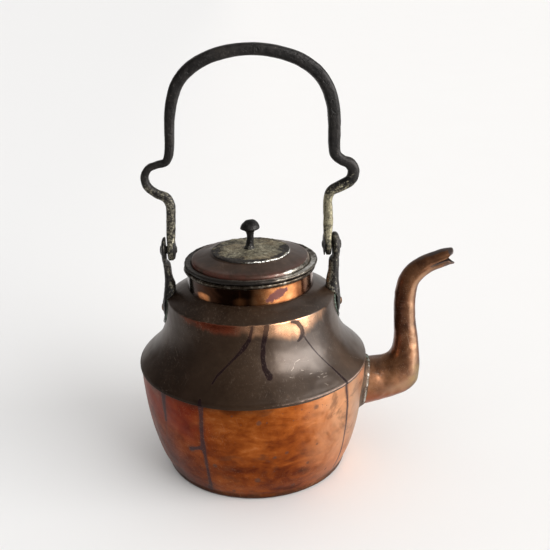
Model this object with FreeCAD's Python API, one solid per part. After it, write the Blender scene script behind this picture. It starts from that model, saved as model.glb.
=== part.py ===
import FreeCAD, Part
import math
import os
from FreeCAD import Vector

# Copper kettle with a falling iron bail, a loose tinned lid and a swan spout.
# Units are millimetres. +Z is up, +X points along the spout, the origin is the
# centre of the foot on the surface the kettle stands on.
# "Front" parts lie on the spout side (+X), "rear" parts on the -X side.

# ---------------------------------------------------------- shared dimensions
SHEET = 1.2                # copper sheet of the body
CLEARANCE = 0.02           # gap between touching pieces

FOOT_IN_R = 70.0           # inner edge of the turned-in foot flange
FOOT_FLAT_R = 75.8         # where the flat foot turns up into the wall
FOOT_FILLET = 4.6          # outer radius of that turn, ending at WALL[0]
BASE_T = 1.5               # base plate thickness
BASE_EDGE_GAP = 0.3

BELLY_R = 100.4            # widest radius, on the lap skirt
SKIRT_IN_R = BELLY_R - SHEET
SKIRT_Z0 = 96.3

# outside of the lower wall, foot to belly: (radius, height)
WALL = [
    (80.4, 4.6), (82.7, 9.0), (86.8, 19.0), (91.0, 34.0), (94.5, 50.0),
    (97.1, 66.0), (98.6, 80.0), (99.1, 90.0), (99.1, 98.6),
]
# outside of the shoulder, above the lap skirt: (radius, height)
FLANK = [
    (100.4, 99.4), (99.5, 101.4), (97.2, 103.4), (93.2, 106.8), (86.9, 113.1),
    (81.2, 121.0), (77.1, 130.0), (74.8, 140.0), (73.7, 148.0), (72.7, 155.0),
]
EDGE_MID = (72.1, 156.5)                 # crisp edge between flank and top
TOP_CONE = [(70.7, 157.6), (54.15, 165.9)]   # shoulder top, edge to neck hole

# handle pivot, shared by bail and brackets
PIN_Z = 198.5
PIN_R, EYE_HOLE_R = 3.5, 3.56
EYE_R, EYE_T, EYE_X = 9.4, 6.2, 67.9     # EYE_X is the middle of its thickness
RIVET_HOLE_R, RIVET_Z = 2.25, 146.0


# ------------------------------------------------------------------- helpers
def in_xz(point):
    return Vector(point[0], 0, point[1])


def line(start, end):
    return Part.makeLine(in_xz(start), in_xz(end))


def lines(*points):
    """Straight edges joining the points in turn."""
    return [line(a, b) for a, b in zip(points, points[1:])]


def spline(points):
    curve = Part.BSplineCurve()
    curve.interpolate([in_xz(p) for p in points])
    return curve.toShape()


def arc(start, middle, end):
    return Part.Arc(in_xz(start), in_xz(middle), in_xz(end)).toShape()


def polar(centre, radius, degrees):
    angle = math.radians(degrees)
    return (centre[0] + radius * math.cos(angle), centre[1] + radius * math.sin(angle))


def turned(edges):
    """Solid of revolution about Z from a closed chain of edges in the XZ plane."""
    face = Part.Face(Part.Wire(edges))
    body = face.revolve(Vector(0, 0, 0), Vector(0, 0, 1), 360)
    return body if body.ShapeType == "Solid" else Part.makeSolid(body.Shells[0])


def turned_band(near, far):
    """Turned strip between two splined outlines."""
    return turned([spline(near), line(near[-1], far[-1]), spline(far[::-1]), line(far[0], near[0])])


def neighbours(rows, i):
    return rows[max(i - 1, 0)], rows[min(i + 1, len(rows) - 1)]


def offset(points, distance):
    """Points moved to the left of travel (inwards on a rising outer wall)."""
    moved = []
    for i, (x, z) in enumerate(points):
        before, after = neighbours(points, i)
        dx, dz = after[0] - before[0], after[1] - before[1]
        length = math.hypot(dx, dz)
        moved.append((x - dz / length * distance, z + dx / length * distance))
    return moved


def cyl_x(x0, x1, radius, z):
    """Cylinder along X on the plane y = 0."""
    return Part.makeCylinder(radius, abs(x1 - x0), Vector(min(x0, x1), 0, z), Vector(1, 0, 0))


def slab_y(edges, half):
    """Prism of a closed XZ outline, symmetric about y = 0."""
    slab = Part.Face(Part.Wire(edges)).extrude(Vector(0, 2 * half, 0))
    slab.translate(Vector(0, -half, 0))
    return slab


def ring_poles(centre, u, w, half_u, half_w, count, power=2.0):
    """Poles of a closed smooth section; a power above 2 squares it up."""
    # A cubic B-spline runs inside its poles, so they are pushed out to suit.
    spread = 6.0 / (4.0 + 2.0 * math.cos(2 * math.pi / count))
    poles = []
    for i in range(count):
        angle = 2 * math.pi * (i + 0.5) / count
        cosine, sine = math.cos(angle), math.sin(angle)
        along_u = math.copysign(abs(cosine) ** (2.0 / power), cosine)
        along_w = math.copysign(abs(sine) ** (2.0 / power), sine)
        poles.append(centre + u * (half_u * spread * along_u) + w * (half_w * spread * along_w))
    return poles


def skinned(rings):
    """Solid through a row of closed sections, capped flat at both ends."""
    rows, columns = len(rings), len(rings[0])
    surface = Part.BSplineSurface()
    surface.buildFromPolesMultsKnots(
        rings,
        [4] + [1] * (rows - 4) + [4],
        [1] * (columns + 1),
        [float(i) for i in range(rows - 2)],
        [float(i) for i in range(columns + 1)],
        False, True, 3, 3)
    skin = surface.toShape()
    u0, u1, _, _ = surface.bounds()
    caps = [Part.Face(Part.Wire([surface.uIso(u).toShape()])) for u in (u0, u1)]
    shell = Part.makeShell([skin] + caps)
    shell.sewShape()
    solid = Part.makeSolid(shell if shell.ShapeType == "Shell" else shell.Shells[0])
    if solid.Volume < 0:
        solid.reverse()
    return solid


def resample(rows, count):
    """Rows (x, z, ...) smoothly interpolated to count rows evenly spaced in XZ."""
    distance = [0.0]
    for a, b in zip(rows, rows[1:]):
        distance.append(distance[-1] + math.hypot(b[0] - a[0], b[1] - a[1]))

    def slopes(i):
        before, after = neighbours(rows, i)
        d0, d1 = neighbours(distance, i)
        return [(b - a) / (d1 - d0) for a, b in zip(before, after)]

    result = []
    for step in range(count):
        place = distance[-1] * step / (count - 1.0)
        j = max(i for i in range(len(rows) - 1) if distance[i] <= place + 1e-9)
        span = distance[j + 1] - distance[j]
        t = (place - distance[j]) / span
        # cubic Hermite blend of the values and slopes at both ends of the span
        result.append([
            (1 + 2 * t) * (1 - t) ** 2 * value0 + t * (1 - t) ** 2 * span * slope0
            + t * t * (3 - 2 * t) * value1 + t * t * (t - 1) * span * slope1
            for value0, slope0, value1, slope1
            in zip(rows[j], slopes(j), rows[j + 1], slopes(j + 1))])
    return result


def one(shape):
    """The largest solid of a boolean result."""
    return sorted(shape.Solids, key=lambda s: s.Volume)[-1]


# ---------------------------------------------------------------- lower body
def lower_outside(start_r):
    """Outside edges from start_r on the floor up to the top of the wall."""
    centre = (FOOT_FLAT_R, FOOT_FILLET)
    return [
        line((start_r, 0), (FOOT_FLAT_R, 0)),
        arc((FOOT_FLAT_R, 0), polar(centre, FOOT_FILLET, -45), WALL[0]),
        spline(WALL),
    ]


def lower_wall():
    inside = offset(WALL, SHEET)
    inner_mid = polar((FOOT_FLAT_R, FOOT_FILLET), FOOT_FILLET - SHEET, -45)
    return turned(lower_outside(FOOT_IN_R) + [
        line(WALL[-1], inside[-1]),
        spline(inside[::-1]),
        arc(inside[0], inner_mid, (FOOT_FLAT_R, SHEET)),
        *lines((FOOT_FLAT_R, SHEET), (FOOT_IN_R, SHEET), (FOOT_IN_R, 0)),
    ])


def lower_core():
    """Everything inside the outer surface of the lower wall."""
    return turned(lower_outside(0) + lines(WALL[-1], (0, WALL[-1][1]), (0, 0)))


def base_plate():
    return Part.makeCylinder(FOOT_FLAT_R - BASE_EDGE_GAP, BASE_T, Vector(0, 0, SHEET + CLEARANCE))


# ------------------------------------------------------------------ shoulder
def shoulder_outside(start_r):
    """Outside edges from start_r under the skirt up to the neck hole."""
    return [
        *lines((start_r, SKIRT_Z0), (BELLY_R, SKIRT_Z0), FLANK[0]),
        spline(FLANK),
        arc(FLANK[-1], EDGE_MID, TOP_CONE[0]),
        line(*TOP_CONE),
    ]


def shoulder_sheet():
    flank_in = offset(FLANK, SHEET)
    flank_in[0] = (SKIRT_IN_R, FLANK[0][1])
    cone_in = offset(TOP_CONE, SHEET)
    cone_in[1] = (TOP_CONE[1][0], cone_in[1][1])     # keeps the hole wall upright
    return turned(shoulder_outside(SKIRT_IN_R) + [
        *lines(TOP_CONE[1], cone_in[1], cone_in[0], flank_in[-1]),
        spline(flank_in[::-1]),
        line(flank_in[0], (SKIRT_IN_R, SKIRT_Z0)),
    ])


def shoulder_core():
    """Everything inside the outer surface of the shoulder."""
    return turned(shoulder_outside(0) + lines(TOP_CONE[1], (0, TOP_CONE[1][1]), (0, SKIRT_Z0)))


# ---------------------------------------------------------------------- neck
NECK_IN_R, NECK_T, NECK_Z0 = 53.1, 1.0, 163.0
WIRE_R, WIRE_Z, WIRE_CENTRE_R = 0.75, 182.6, 54.9
CURL_ANGLES = [180, 90, 0, -56, -112]    # degrees round the rim wire


def neck_collar():
    """Upright collar with its top curled outwards over the rim wire."""
    centre = (WIRE_CENTRE_R, WIRE_Z)
    curl_r = WIRE_CENTRE_R - NECK_IN_R
    outside = [polar(centre, curl_r, a) for a in CURL_ANGLES]
    inside = [polar(centre, curl_r - NECK_T, a) for a in CURL_ANGLES[::-1]]
    foot_in, foot_out = (NECK_IN_R, NECK_Z0), (NECK_IN_R + NECK_T, NECK_Z0)
    return turned([
        line(foot_in, outside[0]),
        arc(*outside[:3]),
        arc(*outside[2:]),
        line(outside[-1], inside[0]),
        arc(*inside[:3]),
        arc(*inside[2:]),
        *lines(inside[-1], foot_out, foot_in),
    ])


def neck_rim_wire():
    return Part.makeTorus(WIRE_CENTRE_R, WIRE_R, Vector(0, 0, WIRE_Z))


# ----------------------------------------------------------------------- lid
RING_Z, RING_T, RING_IN_R = 184.7, 1.6, 49.6
LID_R, LIP_R = 57.4, 55.9                # outermost radius, start of the round lip
LIP_H = 3.0
LID_TOP_Z = 195.0
DISC_R, DISC_T = 52.9, 1.1
DISC_Z = RING_Z + RING_T + CLEARANCE
PLATE_R, PLATE_T = 33.6, 1.6
PLATE_Z = LID_TOP_Z + CLEARANCE
PLATE_PEAK_Z = PLATE_Z + PLATE_T + 0.6
SLEEVE_R, SLEEVE_T, SLEEVE_DEEP = 52.4, 1.0, 14.2
KNOB_R, KNOB_TOP = 8.0, 223.0
KNOB_Z = PLATE_PEAK_Z + 0.04
STUD_R, STUD_HOLE_R = 2.4, 2.45
KNOB_ROVE_R, KNOB_ROVE_T = 6.5, 1.4

# outside of the domed disc, rim to flat top: (radius, height)
DISC_OUTSIDE = [
    (DISC_R - 0.35, DISC_Z + 2.6), (51.4, DISC_Z + 4.2), (48.4, DISC_Z + 5.2),
    (42.0, 193.3), (PLATE_R + 1.0, LID_TOP_Z),
]
DISC_INSIDE = offset(DISC_OUTSIDE, DISC_T)
DISC_UNDER_Z = DISC_INSIDE[-1][1]        # underside of the flat top


def lid_rim_ring():
    step_z = RING_Z + RING_T
    lip_top = (LIP_R, RING_Z + LIP_H)
    return turned([
        line((RING_IN_R, RING_Z), (LIP_R, RING_Z)),
        arc((LIP_R, RING_Z), (LID_R, RING_Z + LIP_H / 2), lip_top),
        *lines(lip_top, (54.4, RING_Z + 2.2), (53.2, step_z), (RING_IN_R, step_z),
               (RING_IN_R, RING_Z)),
    ])


def lid_disc():
    return turned([
        line((DISC_R, DISC_Z), DISC_OUTSIDE[0]),
        spline(DISC_OUTSIDE),
        *lines(DISC_OUTSIDE[-1], (STUD_HOLE_R, LID_TOP_Z), (STUD_HOLE_R, DISC_UNDER_Z),
               DISC_INSIDE[-1]),
        spline(DISC_INSIDE[::-1]),
        *lines(DISC_INSIDE[0], (DISC_R - DISC_T, DISC_Z), (DISC_R, DISC_Z)),
    ])


def lid_centre_plate():
    top_z = PLATE_Z + PLATE_T
    rim_low, rim_high = (PLATE_R - 0.5, PLATE_Z), (PLATE_R - 0.4, top_z - 0.3)
    hole_low, hole_high = (STUD_HOLE_R, PLATE_Z), (STUD_HOLE_R, PLATE_PEAK_Z)
    return turned([
        line(hole_low, rim_low),
        arc(rim_low, (PLATE_R, PLATE_Z + 0.6), rim_high),
        spline([rim_high, (27.0, top_z + 0.1), (12.0, top_z + 0.5), hole_high]),
        line(hole_high, hole_low),
    ])


def lid_knob():
    """Knob on a waisted stem, with its stud down through the plate and disc."""
    stud_end_z = DISC_UNDER_Z - 2.4
    stem_base, stem_top = (4.6, KNOB_Z), (4.4, KNOB_Z + 12.6)
    return turned([
        *lines((0, stud_end_z), (2.0, stud_end_z), (STUD_R, DISC_UNDER_Z - 2.0),
               (STUD_R, KNOB_Z), stem_base),
        spline([stem_base, (3.5, KNOB_Z + 2.0), (3.15, KNOB_Z + 6.0), (3.5, KNOB_Z + 10.0),
                stem_top]),
        spline([stem_top, (6.6, KNOB_TOP - 10.0), (KNOB_R, KNOB_TOP - 8.0),
                (6.6, KNOB_TOP - 4.2), (3.6, KNOB_TOP - 1.0), (0, KNOB_TOP)]),
        line((0, KNOB_TOP), (0, stud_end_z)),
    ])


def knob_rove():
    z = DISC_UNDER_Z - KNOB_ROVE_T - CLEARANCE
    hole = Part.makeCylinder(STUD_HOLE_R, 4, Vector(0, 0, DISC_UNDER_Z - 3))
    return Part.makeCylinder(KNOB_ROVE_R, KNOB_ROVE_T, Vector(0, 0, z)).cut(hole)


def lid_sleeve():
    z = RING_Z - SLEEVE_DEEP
    inside = Part.makeCylinder(SLEEVE_R - SLEEVE_T, SLEEVE_DEEP + 2, Vector(0, 0, z - 1))
    return Part.makeCylinder(SLEEVE_R, SLEEVE_DEEP, Vector(0, 0, z - CLEARANCE)).cut(inside)


# --------------------------------------------------------------------- spout
SPOUT_T = 1.3
SPOUT_END_X = 178.0
SPOUT_RINGS, SPOUT_POLES = 60, 20

# sections: inner-side point, outer-side point (x, z), half width across
SPOUT = [
    ((84.0, 88.6), (84.0, 43.4), 22.0),
    ((96.0, 88.4), (96.0, 44.6), 21.4),
    ((104.0, 88.4), (104.5, 46.3), 20.4),
    ((111.5, 88.8), (113.5, 48.2), 19.4),
    ((117.5, 90.8), (127.8, 52.4), 18.0),
    ((121.6, 94.2), (139.4, 58.2), 16.6),
    ((124.6, 99.2), (147.0, 66.6), 15.0),
    ((126.3, 105.2), (150.3, 80.0), 13.2),
    ((127.1, 112.4), (150.0, 95.6), 11.4),
    ((127.4, 121.0), (147.4, 112.6), 10.0),
    ((127.1, 131.5), (145.2, 128.6), 9.2),
    ((126.9, 143.5), (144.4, 143.0), 8.9),
    ((127.5, 154.5), (145.1, 154.0), 8.9),
    ((129.4, 163.6), (147.2, 160.4), 8.9),
    ((133.4, 172.0), (150.2, 164.6), 8.8),
    ((140.0, 178.6), (154.4, 168.4), 8.5),
    ((148.6, 183.4), (160.2, 171.6), 8.1),
    ((158.6, 187.2), (167.0, 174.2), 7.6),
    ((168.4, 189.9), (173.6, 176.2), 7.1),
    ((176.6, 190.9), (178.4, 177.2), 6.6),
    ((183.6, 191.6), (184.6, 178.2), 6.4),
]
# triangle cut from the spout mouth: (x, z)
NOTCH = [(171.6, 182.4), (184.5, 202.2), (188.7, 167.5)]

# root flange: x, growth of the half width, index of the spout section it follows
FLANGE = [
    (84.0, 8.6, 1), (92.0, 8.0, 1), (97.0, 7.4, 1), (100.0, 5.8, 2),
    (102.5, 3.6, 2), (105.5, 1.6, 2), (108.0, 0.9, 2),
]
FLANGE_Z_GROWTH = 0.82                   # growth in height as a share of that in width


def spout_skin(grow):
    """Solid spout, grown on all sides by grow."""
    stations = [
        ((i[0] + o[0]) / 2, (i[1] + o[1]) / 2, i[0] - o[0], i[1] - o[1], half)
        for i, o, half in SPOUT]
    rings = []
    for x, z, dx, dz, half in resample(stations, SPOUT_RINGS):
        across = Vector(dx, 0, dz)
        half_depth = across.Length / 2
        across.normalize()
        rings.append(ring_poles(Vector(x, 0, z), across, Vector(0, 1, 0),
                                half_depth + grow, half + grow, SPOUT_POLES))
    return skinned(rings)


def spout_tube(outer, bore, core):
    end_cut = Part.makeBox(40, 60, 60, Vector(SPOUT_END_X, -30, 160))
    notch = slab_y(lines(*NOTCH, NOTCH[0]), 20)
    return one(outer.cut(bore).cut(core).cut(end_cut).cut(notch))


def spout_root_flange(outer, core):
    rings = []
    for x, grow, section in FLANGE:
        (_, top_z), (_, bottom_z), half = SPOUT[section]
        rings.append(ring_poles(
            Vector(x, 0, (top_z + bottom_z) / 2), Vector(0, 0, 1), Vector(0, 1, 0),
            (top_z - bottom_z) / 2 + grow * FLANGE_Z_GROWTH, half + grow, SPOUT_POLES))
    return one(skinned(rings).cut(core).cut(outer))


# ------------------------------------- handle brackets, modelled on the front
EAR_T, EAR_R = 5.0, 10.0
AXIAL_GAP = 0.15                         # on each side of the bail eye
EAR_IN_X = EYE_X + EYE_T / 2 + AXIAL_GAP
EAR_OUT_X = EAR_IN_X + EAR_T
WASHER_R, WASHER_T = 9.2, 1.7
WASHER_OUT_X = EYE_X - EYE_T / 2 - AXIAL_GAP
WASHER_IN_X = WASHER_OUT_X - WASHER_T
PAD_T, PAD_MARGIN = 0.8, 1.3             # the pad shows this far round the palm
ROVE_R, ROVE_OUTER_OFFSET = 6.0, 1.4
RIVET_R = 2.2

# outer face of the bracket seen from the side: (x, z)
BRACKET_OUTSIDE = [
    (75.4, 131.0), (76.9, 137.0), (77.8, 143.0), (78.0, 150.0), (77.8, 157.0),
    (76.8, 166.0), (76.0, 176.0), (EAR_OUT_X, 186.0),
]
# its inner face below the ear, downwards: (x, z)
BRACKET_INSIDE = [
    (EAR_IN_X, 188.2), (69.8, 186.6), (69.2, 180.0), (68.4, 172.5), (65.6, 166.5),
    (61.8, 162.8),
]
# half outline of the shank between palm and ear, upwards: (y, z)
SHANK = [(8.2, 159.9), (5.6, 166.0), (5.0, 176.0), (5.6, 188.0), (5.6, 196.0)]
PAD_INSIDE = FLANK[-4:] + [(72.55, 155.9)]
ROVE_LINE = [(75.6, 136.0)] + FLANK[-3:-1] + [(73.1, 152.0)]
RIVET_FACE_X = 78.0 + CLEARANCE          # where the rivet head seats


def both_sides(half, middle=()):
    """YZ points down the -y side, through middle, and back along the +y side."""
    left = [Vector(0, -y, z) for y, z in half]
    right = [Vector(0, y, z) for y, z in reversed(half)]
    return left + list(middle) + right


def palm_prism(grow):
    """Spade-shaped palm, its YZ outline enlarged by grow, run out along +X."""
    half = [
        (8.2 + grow, 160.0), (12.6 + grow, 153.0), (14.0 + grow, 146.6),
        (11.2 + grow, 140.2), (5.2 + grow * 0.7, 135.0 - grow * 0.6),
    ]
    points = both_sides(half, [Vector(0, 0, 132.6 - grow)])
    curve = Part.BSplineCurve()
    curve.interpolate(points)
    outline = Part.Wire([curve.toShape(), Part.makeLine(points[-1], points[0])])
    return Part.Face(outline).extrude(Vector(90, 0, 0))


def through_front(radius, z):
    """Cylinder along X right through a front bracket."""
    return cyl_x(60, 90, radius, z)


def dome(face_x, radius, depth, trim_r, z):
    """Part of a sphere standing proud of face_x, its centre depth behind it."""
    centre = Vector(face_x - depth, 0, z)
    ball = Part.makeSphere(radius, centre, Vector(0, 0, 1), -90, 90, 360)
    return ball.common(cyl_x(face_x, 90, trim_r, z))


def bracket_and_pad(shoulder, core):
    pad_ring = turned_band(PAD_INSIDE, offset(PAD_INSIDE, -PAD_T))
    rivet_hole = through_front(RIVET_HOLE_R, RIVET_Z)

    shank = both_sides(SHANK)
    shank_prism = Part.Face(Part.makePolygon(shank + shank[:1])).extrude(Vector(90, 0, 0))
    front_view = palm_prism(0.0).fuse(shank_prism).fuse(cyl_x(0, 90, EAR_R, PIN_Z))
    side_view = slab_y([
        spline(BRACKET_OUTSIDE),
        *lines(BRACKET_OUTSIDE[-1], (EAR_OUT_X, 210.0), (EAR_IN_X, 210.0), BRACKET_INSIDE[0]),
        spline(BRACKET_INSIDE),
        *lines(BRACKET_INSIDE[-1], (61.8, 150.0), (70.0, 131.0), BRACKET_OUTSIDE[0]),
    ], 30)
    bracket = front_view.common(side_view).cut(core).cut(pad_ring)
    bracket = bracket.cut(through_front(PIN_R + CLEARANCE, PIN_Z)).cut(rivet_hole)

    pad = pad_ring.common(palm_prism(PAD_MARGIN))
    return one(bracket), one(one(pad.cut(shoulder).cut(rivet_hole)))


def rivet_rove(shoulder):
    """Washer under the rivet tail, curved to the inside of the shoulder."""
    ring = turned_band(offset(ROVE_LINE, SHEET + CLEARANCE),
                       offset(ROVE_LINE, SHEET + ROVE_OUTER_OFFSET))
    disc = ring.common(through_front(ROVE_R, RIVET_Z))
    return one(disc.cut(shoulder).cut(through_front(RIVET_HOLE_R, RIVET_Z)))


def bracket_rivet(rove):
    head = dome(RIVET_FACE_X, radius=3.7, depth=1.6, trim_r=6.0, z=RIVET_Z)
    stem = cyl_x(69.6, RIVET_FACE_X + 0.5, RIVET_R, RIVET_Z)
    tail = cyl_x(69.4, 70.9, 3.6, RIVET_Z)
    return one(head.fuse(stem).fuse(tail).cut(rove))


def pivot_pin():
    head = dome(EAR_OUT_X + CLEARANCE, radius=6.6, depth=4.6, trim_r=9.0, z=PIN_Z)
    stem = cyl_x(WASHER_IN_X - 0.5, EAR_OUT_X + 0.5, PIN_R, PIN_Z)
    tail = cyl_x(WASHER_IN_X - 1.5, WASHER_IN_X - CLEARANCE, 4.4, PIN_Z)
    return one(head.fuse(stem).fuse(tail))


def pivot_washer():
    disc = cyl_x(WASHER_IN_X, WASHER_OUT_X, WASHER_R, PIN_Z)
    return disc.cut(through_front(PIN_R + CLEARANCE, PIN_Z))


# ---------------------------------------------------------------------- bail
# centre line (x, z), half thickness in the plane, half width across it
BAIL = [
    (-67.9, 198.5, 2.8, 4.4), (-67.9, 206.0, 2.9, 4.2), (-67.4, 214.0, 3.4, 3.9),
    (-66.2, 223.0, 3.6, 3.9), (-65.4, 231.5, 3.6, 3.9), (-65.8, 238.5, 3.5, 3.9),
    (-69.0, 244.3, 3.3, 3.9), (-75.8, 248.9, 3.2, 3.9), (-82.4, 255.2, 3.2, 3.9),
    (-84.2, 263.0, 3.1, 3.9), (-80.4, 269.8, 3.0, 3.9), (-73.4, 272.6, 3.1, 3.9),
    (-66.6, 275.6, 3.4, 4.0), (-63.1, 281.8, 3.8, 4.2), (-62.4, 290.0, 4.1, 4.4),
    (-61.9, 300.0, 4.2, 4.7), (-60.6, 313.0, 4.3, 5.0), (-57.2, 327.5, 4.5, 5.3),
    (-49.8, 341.6, 4.7, 5.5), (-36.5, 353.1, 4.8, 5.7), (-18.5, 360.6, 4.9, 5.8),
    (5.0, 363.2, 4.95, 5.8), (27.5, 360.4, 4.9, 5.8), (46.5, 352.2, 4.8, 5.7),
    (60.8, 340.2, 4.8, 5.6), (69.2, 326.0, 4.8, 5.4), (72.4, 311.0, 4.8, 5.1),
    (72.9, 298.0, 4.8, 4.8), (72.6, 286.5, 4.8, 4.6), (74.1, 277.8, 4.7, 4.5),
    (79.4, 272.2, 4.8, 4.4), (85.6, 269.0, 4.9, 4.3), (88.7, 262.4, 4.9, 4.2),
    (86.0, 255.0, 4.6, 4.1), (78.4, 249.4, 4.1, 4.0), (70.8, 244.8, 3.7, 4.0),
    (67.8, 238.0, 3.5, 3.9), (67.1, 229.5, 3.4, 3.9), (67.3, 219.0, 3.4, 3.9),
    (67.8, 208.0, 2.9, 4.2), (67.9, 198.5, 2.8, 4.4),
]
BAIL_PIECES, PIECE_SPANS = 6, 25         # the bar is skinned in short lengths


def handle_bail():
    spans = BAIL_PIECES * PIECE_SPANS
    rows = resample(BAIL, spans + 1)
    across = Vector(0, 1, 0)
    rings = []
    for i, (x, z, half_t, half_w) in enumerate(rows):
        before, after = neighbours(rows, i)
        tangent = Vector(after[0] - before[0], 0, after[1] - before[1])
        tangent.normalize()
        rings.append(ring_poles(Vector(x, 0, z), tangent.cross(across), across,
                                half_t, half_w, 16, power=2.6))
    bail = skinned(rings[:PIECE_SPANS + 1])
    for i in range(PIECE_SPANS, spans, PIECE_SPANS):
        bail = bail.fuse(skinned(rings[i:i + PIECE_SPANS + 1]))
    for side in (-1, 1):
        bail = bail.fuse(cyl_x(side * (EYE_X - EYE_T / 2), side * (EYE_X + EYE_T / 2),
                               EYE_R, PIN_Z))
    for side in (-1, 1):
        bail = bail.cut(cyl_x(side * 50, side * 90, EYE_HOLE_R, PIN_Z))
    return one(bail)


# ---------------------------------------------------------- build and export
body_core = lower_core()
shoulder = shoulder_sheet()
outer, bore = spout_skin(0.0), spout_skin(-SPOUT_T)

parts = {
    "base_plate": base_plate(),
    "lower_body_wall": one(lower_wall().cut(bore)),
    "shoulder_shell": one(shoulder.cut(cyl_x(-90, 90, RIVET_HOLE_R, RIVET_Z))),
    "neck_collar": neck_collar(),
    "neck_rim_wire": neck_rim_wire(),
    "lid_rim_ring": lid_rim_ring(),
    "lid_disc": lid_disc(),
    "lid_centre_plate": lid_centre_plate(),
    "lid_knob": lid_knob(),
    "knob_rove": knob_rove(),
    "lid_sleeve": lid_sleeve(),
    "spout_tube": spout_tube(outer, bore, body_core),
    "spout_root_flange": spout_root_flange(outer, body_core),
    "handle_bail": handle_bail(),
}

bracket, pad = bracket_and_pad(shoulder, shoulder_core())
rove = rivet_rove(shoulder)
front_parts = {
    "handle_bracket": bracket,
    "bracket_pad": pad,
    "bracket_rivet": bracket_rivet(rove),
    "rivet_rove": rove,
    "pivot_pin": pivot_pin(),
    "pivot_washer": pivot_washer(),
}
for name, shape in front_parts.items():
    parts[name + "_front"] = shape
    parts[name + "_rear"] = shape.mirror(Vector(0, 0, 0), Vector(1, 0, 0))

os.makedirs("parts", exist_ok=True)
for name, shape in parts.items():
    shape.exportStep("parts/" + name + ".step")
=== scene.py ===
"""An old copper kettle with a lid, a curved spout and a forged bail handle.

The body turns about Z and stands near Z = 0. The spout points to +X, the bail arches over the
kettle in the XZ plane, and the camera looks from -Y. Shapes are in mm, shader places in metres.
"""
import math

import bpy
import numpy as np
from mathutils import Matrix


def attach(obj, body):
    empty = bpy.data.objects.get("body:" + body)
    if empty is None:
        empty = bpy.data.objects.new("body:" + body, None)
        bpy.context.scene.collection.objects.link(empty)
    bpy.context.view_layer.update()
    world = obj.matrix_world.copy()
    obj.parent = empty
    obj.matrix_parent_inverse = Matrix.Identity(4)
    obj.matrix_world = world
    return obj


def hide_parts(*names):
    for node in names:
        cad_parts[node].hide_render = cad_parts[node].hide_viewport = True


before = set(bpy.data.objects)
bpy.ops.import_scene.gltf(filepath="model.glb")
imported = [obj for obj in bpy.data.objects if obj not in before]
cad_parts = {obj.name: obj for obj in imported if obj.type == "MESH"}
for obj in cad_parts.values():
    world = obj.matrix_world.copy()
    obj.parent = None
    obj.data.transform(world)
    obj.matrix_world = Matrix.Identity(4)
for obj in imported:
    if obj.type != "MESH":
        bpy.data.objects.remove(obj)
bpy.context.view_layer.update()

SCENE = bpy.context.scene
DENSITY = 1.0
MM = 0.001

# Outlines shared with the CAD frame: radius, height
WALL = [(80.4, 4.6), (82.7, 9.0), (86.8, 19.0), (91.0, 34.0), (94.5, 50.0),
        (97.1, 66.0), (98.6, 80.0), (99.1, 90.0), (99.1, 98.6)]
FLANK = [(100.4, 99.4), (99.5, 101.4), (97.2, 103.4), (93.2, 106.8), (86.9, 113.1),
         (81.2, 121.0), (77.1, 130.0), (74.8, 140.0), (73.7, 148.0), (72.7, 155.0)]
SHEET = 1.2          # thickness of the body sheet
PIN_Z = 198.5        # height of the bail pivots
RIVET_Z = 146.0      # height of the bracket rivets


# ---------------------------------------------------------------- noise on arrays
random = np.random.RandomState(20731)
SHUFFLE = np.tile(random.permutation(256), 3)
CORNERS = random.uniform(-1, 1, 256)


def value_noise(points):
    cell = np.floor(points).astype(np.int64)
    part = points - cell
    ease = part * part * part * (part * (part * 6 - 15) + 10)
    cell &= 255
    x, y, z = ease[..., 0], ease[..., 1], ease[..., 2]

    def corner(i, j, k):
        row = SHUFFLE[(cell[..., 0] + i) & 255] + ((cell[..., 1] + j) & 255)
        return CORNERS[SHUFFLE[SHUFFLE[row] + ((cell[..., 2] + k) & 255)] & 255]

    def edge(j, k):
        return corner(0, j, k) * (1 - x) + corner(1, j, k) * x

    return ((edge(0, 0) * (1 - y) + edge(1, 0) * y) * (1 - z)
            + (edge(0, 1) * (1 - y) + edge(1, 1) * y) * z)


def fbm(points, size, octaves, seed):
    """Layered noise with features about size mm wide."""
    shift = np.array([seed * 7.31 + 11.7, seed * 3.17 + 5.3, seed * 5.71 + 2.9])
    points = np.asarray(points, float) / size + shift
    result, amount, total = 0.0, 1.0, 0.0
    for _ in range(octaves):
        result = result + amount * value_noise(points)
        total += amount
        amount *= 0.5
        points = points * 2.03 + 17.13
    return result / total


def smooth(start, end, x):
    """Eased ramp from 0 at start to 1 at end."""
    t = np.clip((x - start) / (end - start), 0, 1)
    return t * t * (3 - 2 * t)


# ---------------------------------------------------------------- curves
def hermite(rows, count=None, step=None):
    """Smooth rows through the given ones, evenly spaced along their first two columns."""
    rows = np.asarray(rows, float)
    dist = np.concatenate([[0], np.cumsum(np.linalg.norm(np.diff(rows[:, :2], axis=0), axis=1))])
    last = len(rows) - 1
    slope = np.empty_like(rows)
    for i in range(last + 1):
        before, after = max(i - 1, 0), min(i + 1, last)
        slope[i] = (rows[after] - rows[before]) / (dist[after] - dist[before])
    if count is None:
        count = max(2, int(round(dist[-1] / step)) + 1)
    t = np.linspace(0, dist[-1], count)
    j = np.clip(np.searchsorted(dist, t, side="right") - 1, 0, last - 1)
    span = (dist[j + 1] - dist[j])[:, None]
    u = ((t - dist[j]) / (dist[j + 1] - dist[j]))[:, None]
    return ((1 + 2 * u) * (1 - u) ** 2 * rows[j] + u * (1 - u) ** 2 * span * slope[j]
            + u * u * (3 - 2 * u) * rows[j + 1] + u * u * (u - 1) * span * slope[j + 1])


def straight(start, end, count):
    t = np.linspace(0, 1, count)[:, None]
    return np.asarray(start, float) * (1 - t) + np.asarray(end, float) * t


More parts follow.
